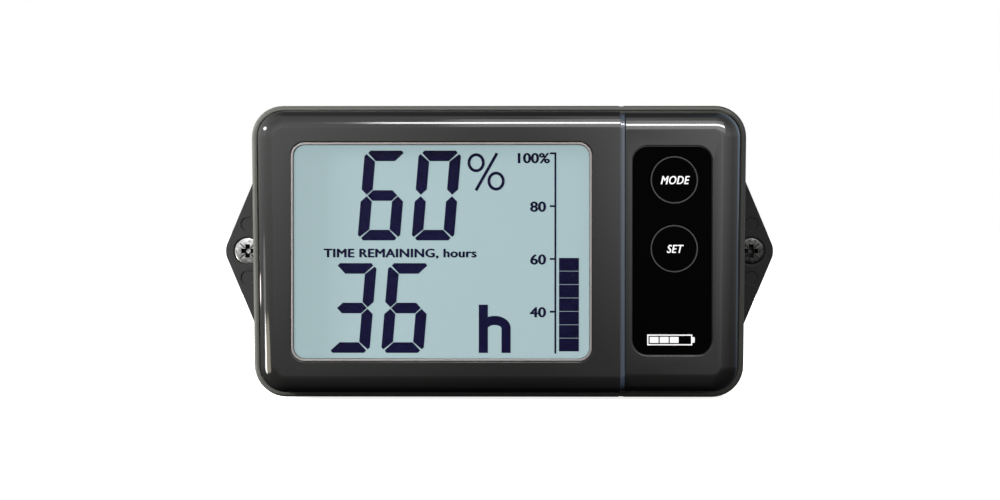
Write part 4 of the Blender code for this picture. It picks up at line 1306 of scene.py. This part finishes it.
def make_floor():
    """A pale floor that keeps the object's soft contact shadow and throws no light up at it."""
    bm = bmesh.new()
    bmesh.ops.create_grid(bm, x_segments=1, y_segments=1, size=6)
    mesh = bpy.data.meshes.new("floor")
    bm.to_mesh(mesh)
    bm.free()
    paper = surface("floor_paper", grey(0.78), grey(0.82), 0.8, patch=3, grain=200, specular=0)
    glow(paper, WHITE, 0.82)
    mesh.materials.append(paper)
    floor = add_object("floor", mesh)
    floor.location.z = CAD_BOX[0].z - 0.05 * MM
    floor.visible_shadow = False
    floor.visible_glossy = False
    floor.visible_diffuse = False


def make_top_strip():
    """The card that draws the bright line along the top of the face, and its soft glow."""
    left, right = -0.077, 0.5
    strip_distance, strip_height, strip_power = 0.7, 0.14, 5.1
    glow_distance, glow_height, glow_power = 0.72, 0.75, 2.9
    elevation = math.radians(38.5)
    away = Vector((0, -math.cos(elevation), math.sin(elevation)))
    aim = Vector(((left + right) / 2, -FRONT_Z, BODY_HEIGHT / 2))
    width = right - left
    make_card("top_strip", aim + strip_distance * away, aim, width, strip_height, strip_power)
    shorter = 0.04
    aim.x += shorter / 2
    place = aim + glow_distance * away
    make_card("top_glow", place, aim, width - shorter, glow_height, glow_power)


def make_left_cards():
    """Small oval cards low on the left: a bright one, its two fading sides and a side glint."""
    edge = Vector((-0.061, -0.021, 0))
    distance = 0.085
    olive = (1, 0.93, 0.72)
    rose = (1, 0.88, 0.85)
    cards = {
        # name: (degrees left of the front, its middle's height, height, width, power, colour)
        "low_left_card": (80, -0.043, 0.046, 0.022, 0.05, WHITE),
        "low_left_fade": (60, -0.041, 0.042, 0.056, 0.024, olive),
        "mid_left_card": (84, -0.014, 0.034, 0.03, 0.0045, WHITE),
        "side_glint": (140, -0.0125, 0.009, 0.03, 0.0045, rose),
    }
    for name, (bearing, z, height, width, power, colour) in cards.items():
        turn = math.radians(bearing)
        out = Vector((-math.sin(turn), -math.cos(turn), 0))
        aim = edge + Vector((0, 0, z))
        make_card(name, aim + distance * out, aim, width, height, power, colour, "ELLIPSE")


def make_corner_card():
    """The oval card that glints in the covers' upper left corner."""
    corner = Vector((-0.061, -0.02, 0.032))
    towards = Vector((-0.896, -0.105, 0.424)).normalized()
    width, height, power = 0.15, 0.05, 0.34
    place = corner + 0.3 * towards
    make_card("corner_card", place, corner, width, height, power, shape="ELLIPSE")


def make_fill(name, place, target, width, height, power):
    """Soft light that reaches rough plastic but leaves no reflection."""
    fill = make_card(name, place, target, width, height, power)
    fill.visible_diffuse = True
    fill.visible_glossy = False


def make_fills():
    """One from the left, and one from behind that reaches only what faces the wall."""
    edge = Vector((-BODY_WIDTH / 2, -RIM_Z, 0))
    make_fill("left_fill", edge + Vector((-0.22, -0.1, 0.07)), edge, 0.1, 0.1, 2.8)
    make_fill("back_fill", (0, 0.8, 0), (0, 0, 0), 0.8, 0.5, 9)


def make_studio():
    bpy.context.scene.view_settings.view_transform = "Standard"
    make_world()
    make_floor()
    make_camera()
    make_top_strip()
    make_left_cards()
    make_corner_card()
    make_fills()


def main():
    make_studio()
    make_wall_plate()
    make_rear_housing()
    make_housing_seal()
    make_display_bezel()
    make_key_end_cap()
    make_wall_screw("left", clean_steel)
    make_wall_screw("right", worn_steel)
    for number in range(1, 7):
        make_pan_screw(f"cover_screw_{number}", *COVER_SCREW)
    for number in range(1, 5):
        make_pan_screw(f"board_screw_{number}", *BOARD_SCREW)
    make_window()
    make_digits()
    make_percent_sign()
    make_hours_letter()
    make_charge_scale()
    make_bar_graph()
    make_caption()
    make_key_panel()
    make_battery_sign()
    make_key("upper_key", "MODE")
    make_key("lower_key", "SET")
    finish_inner_nodes()


main()
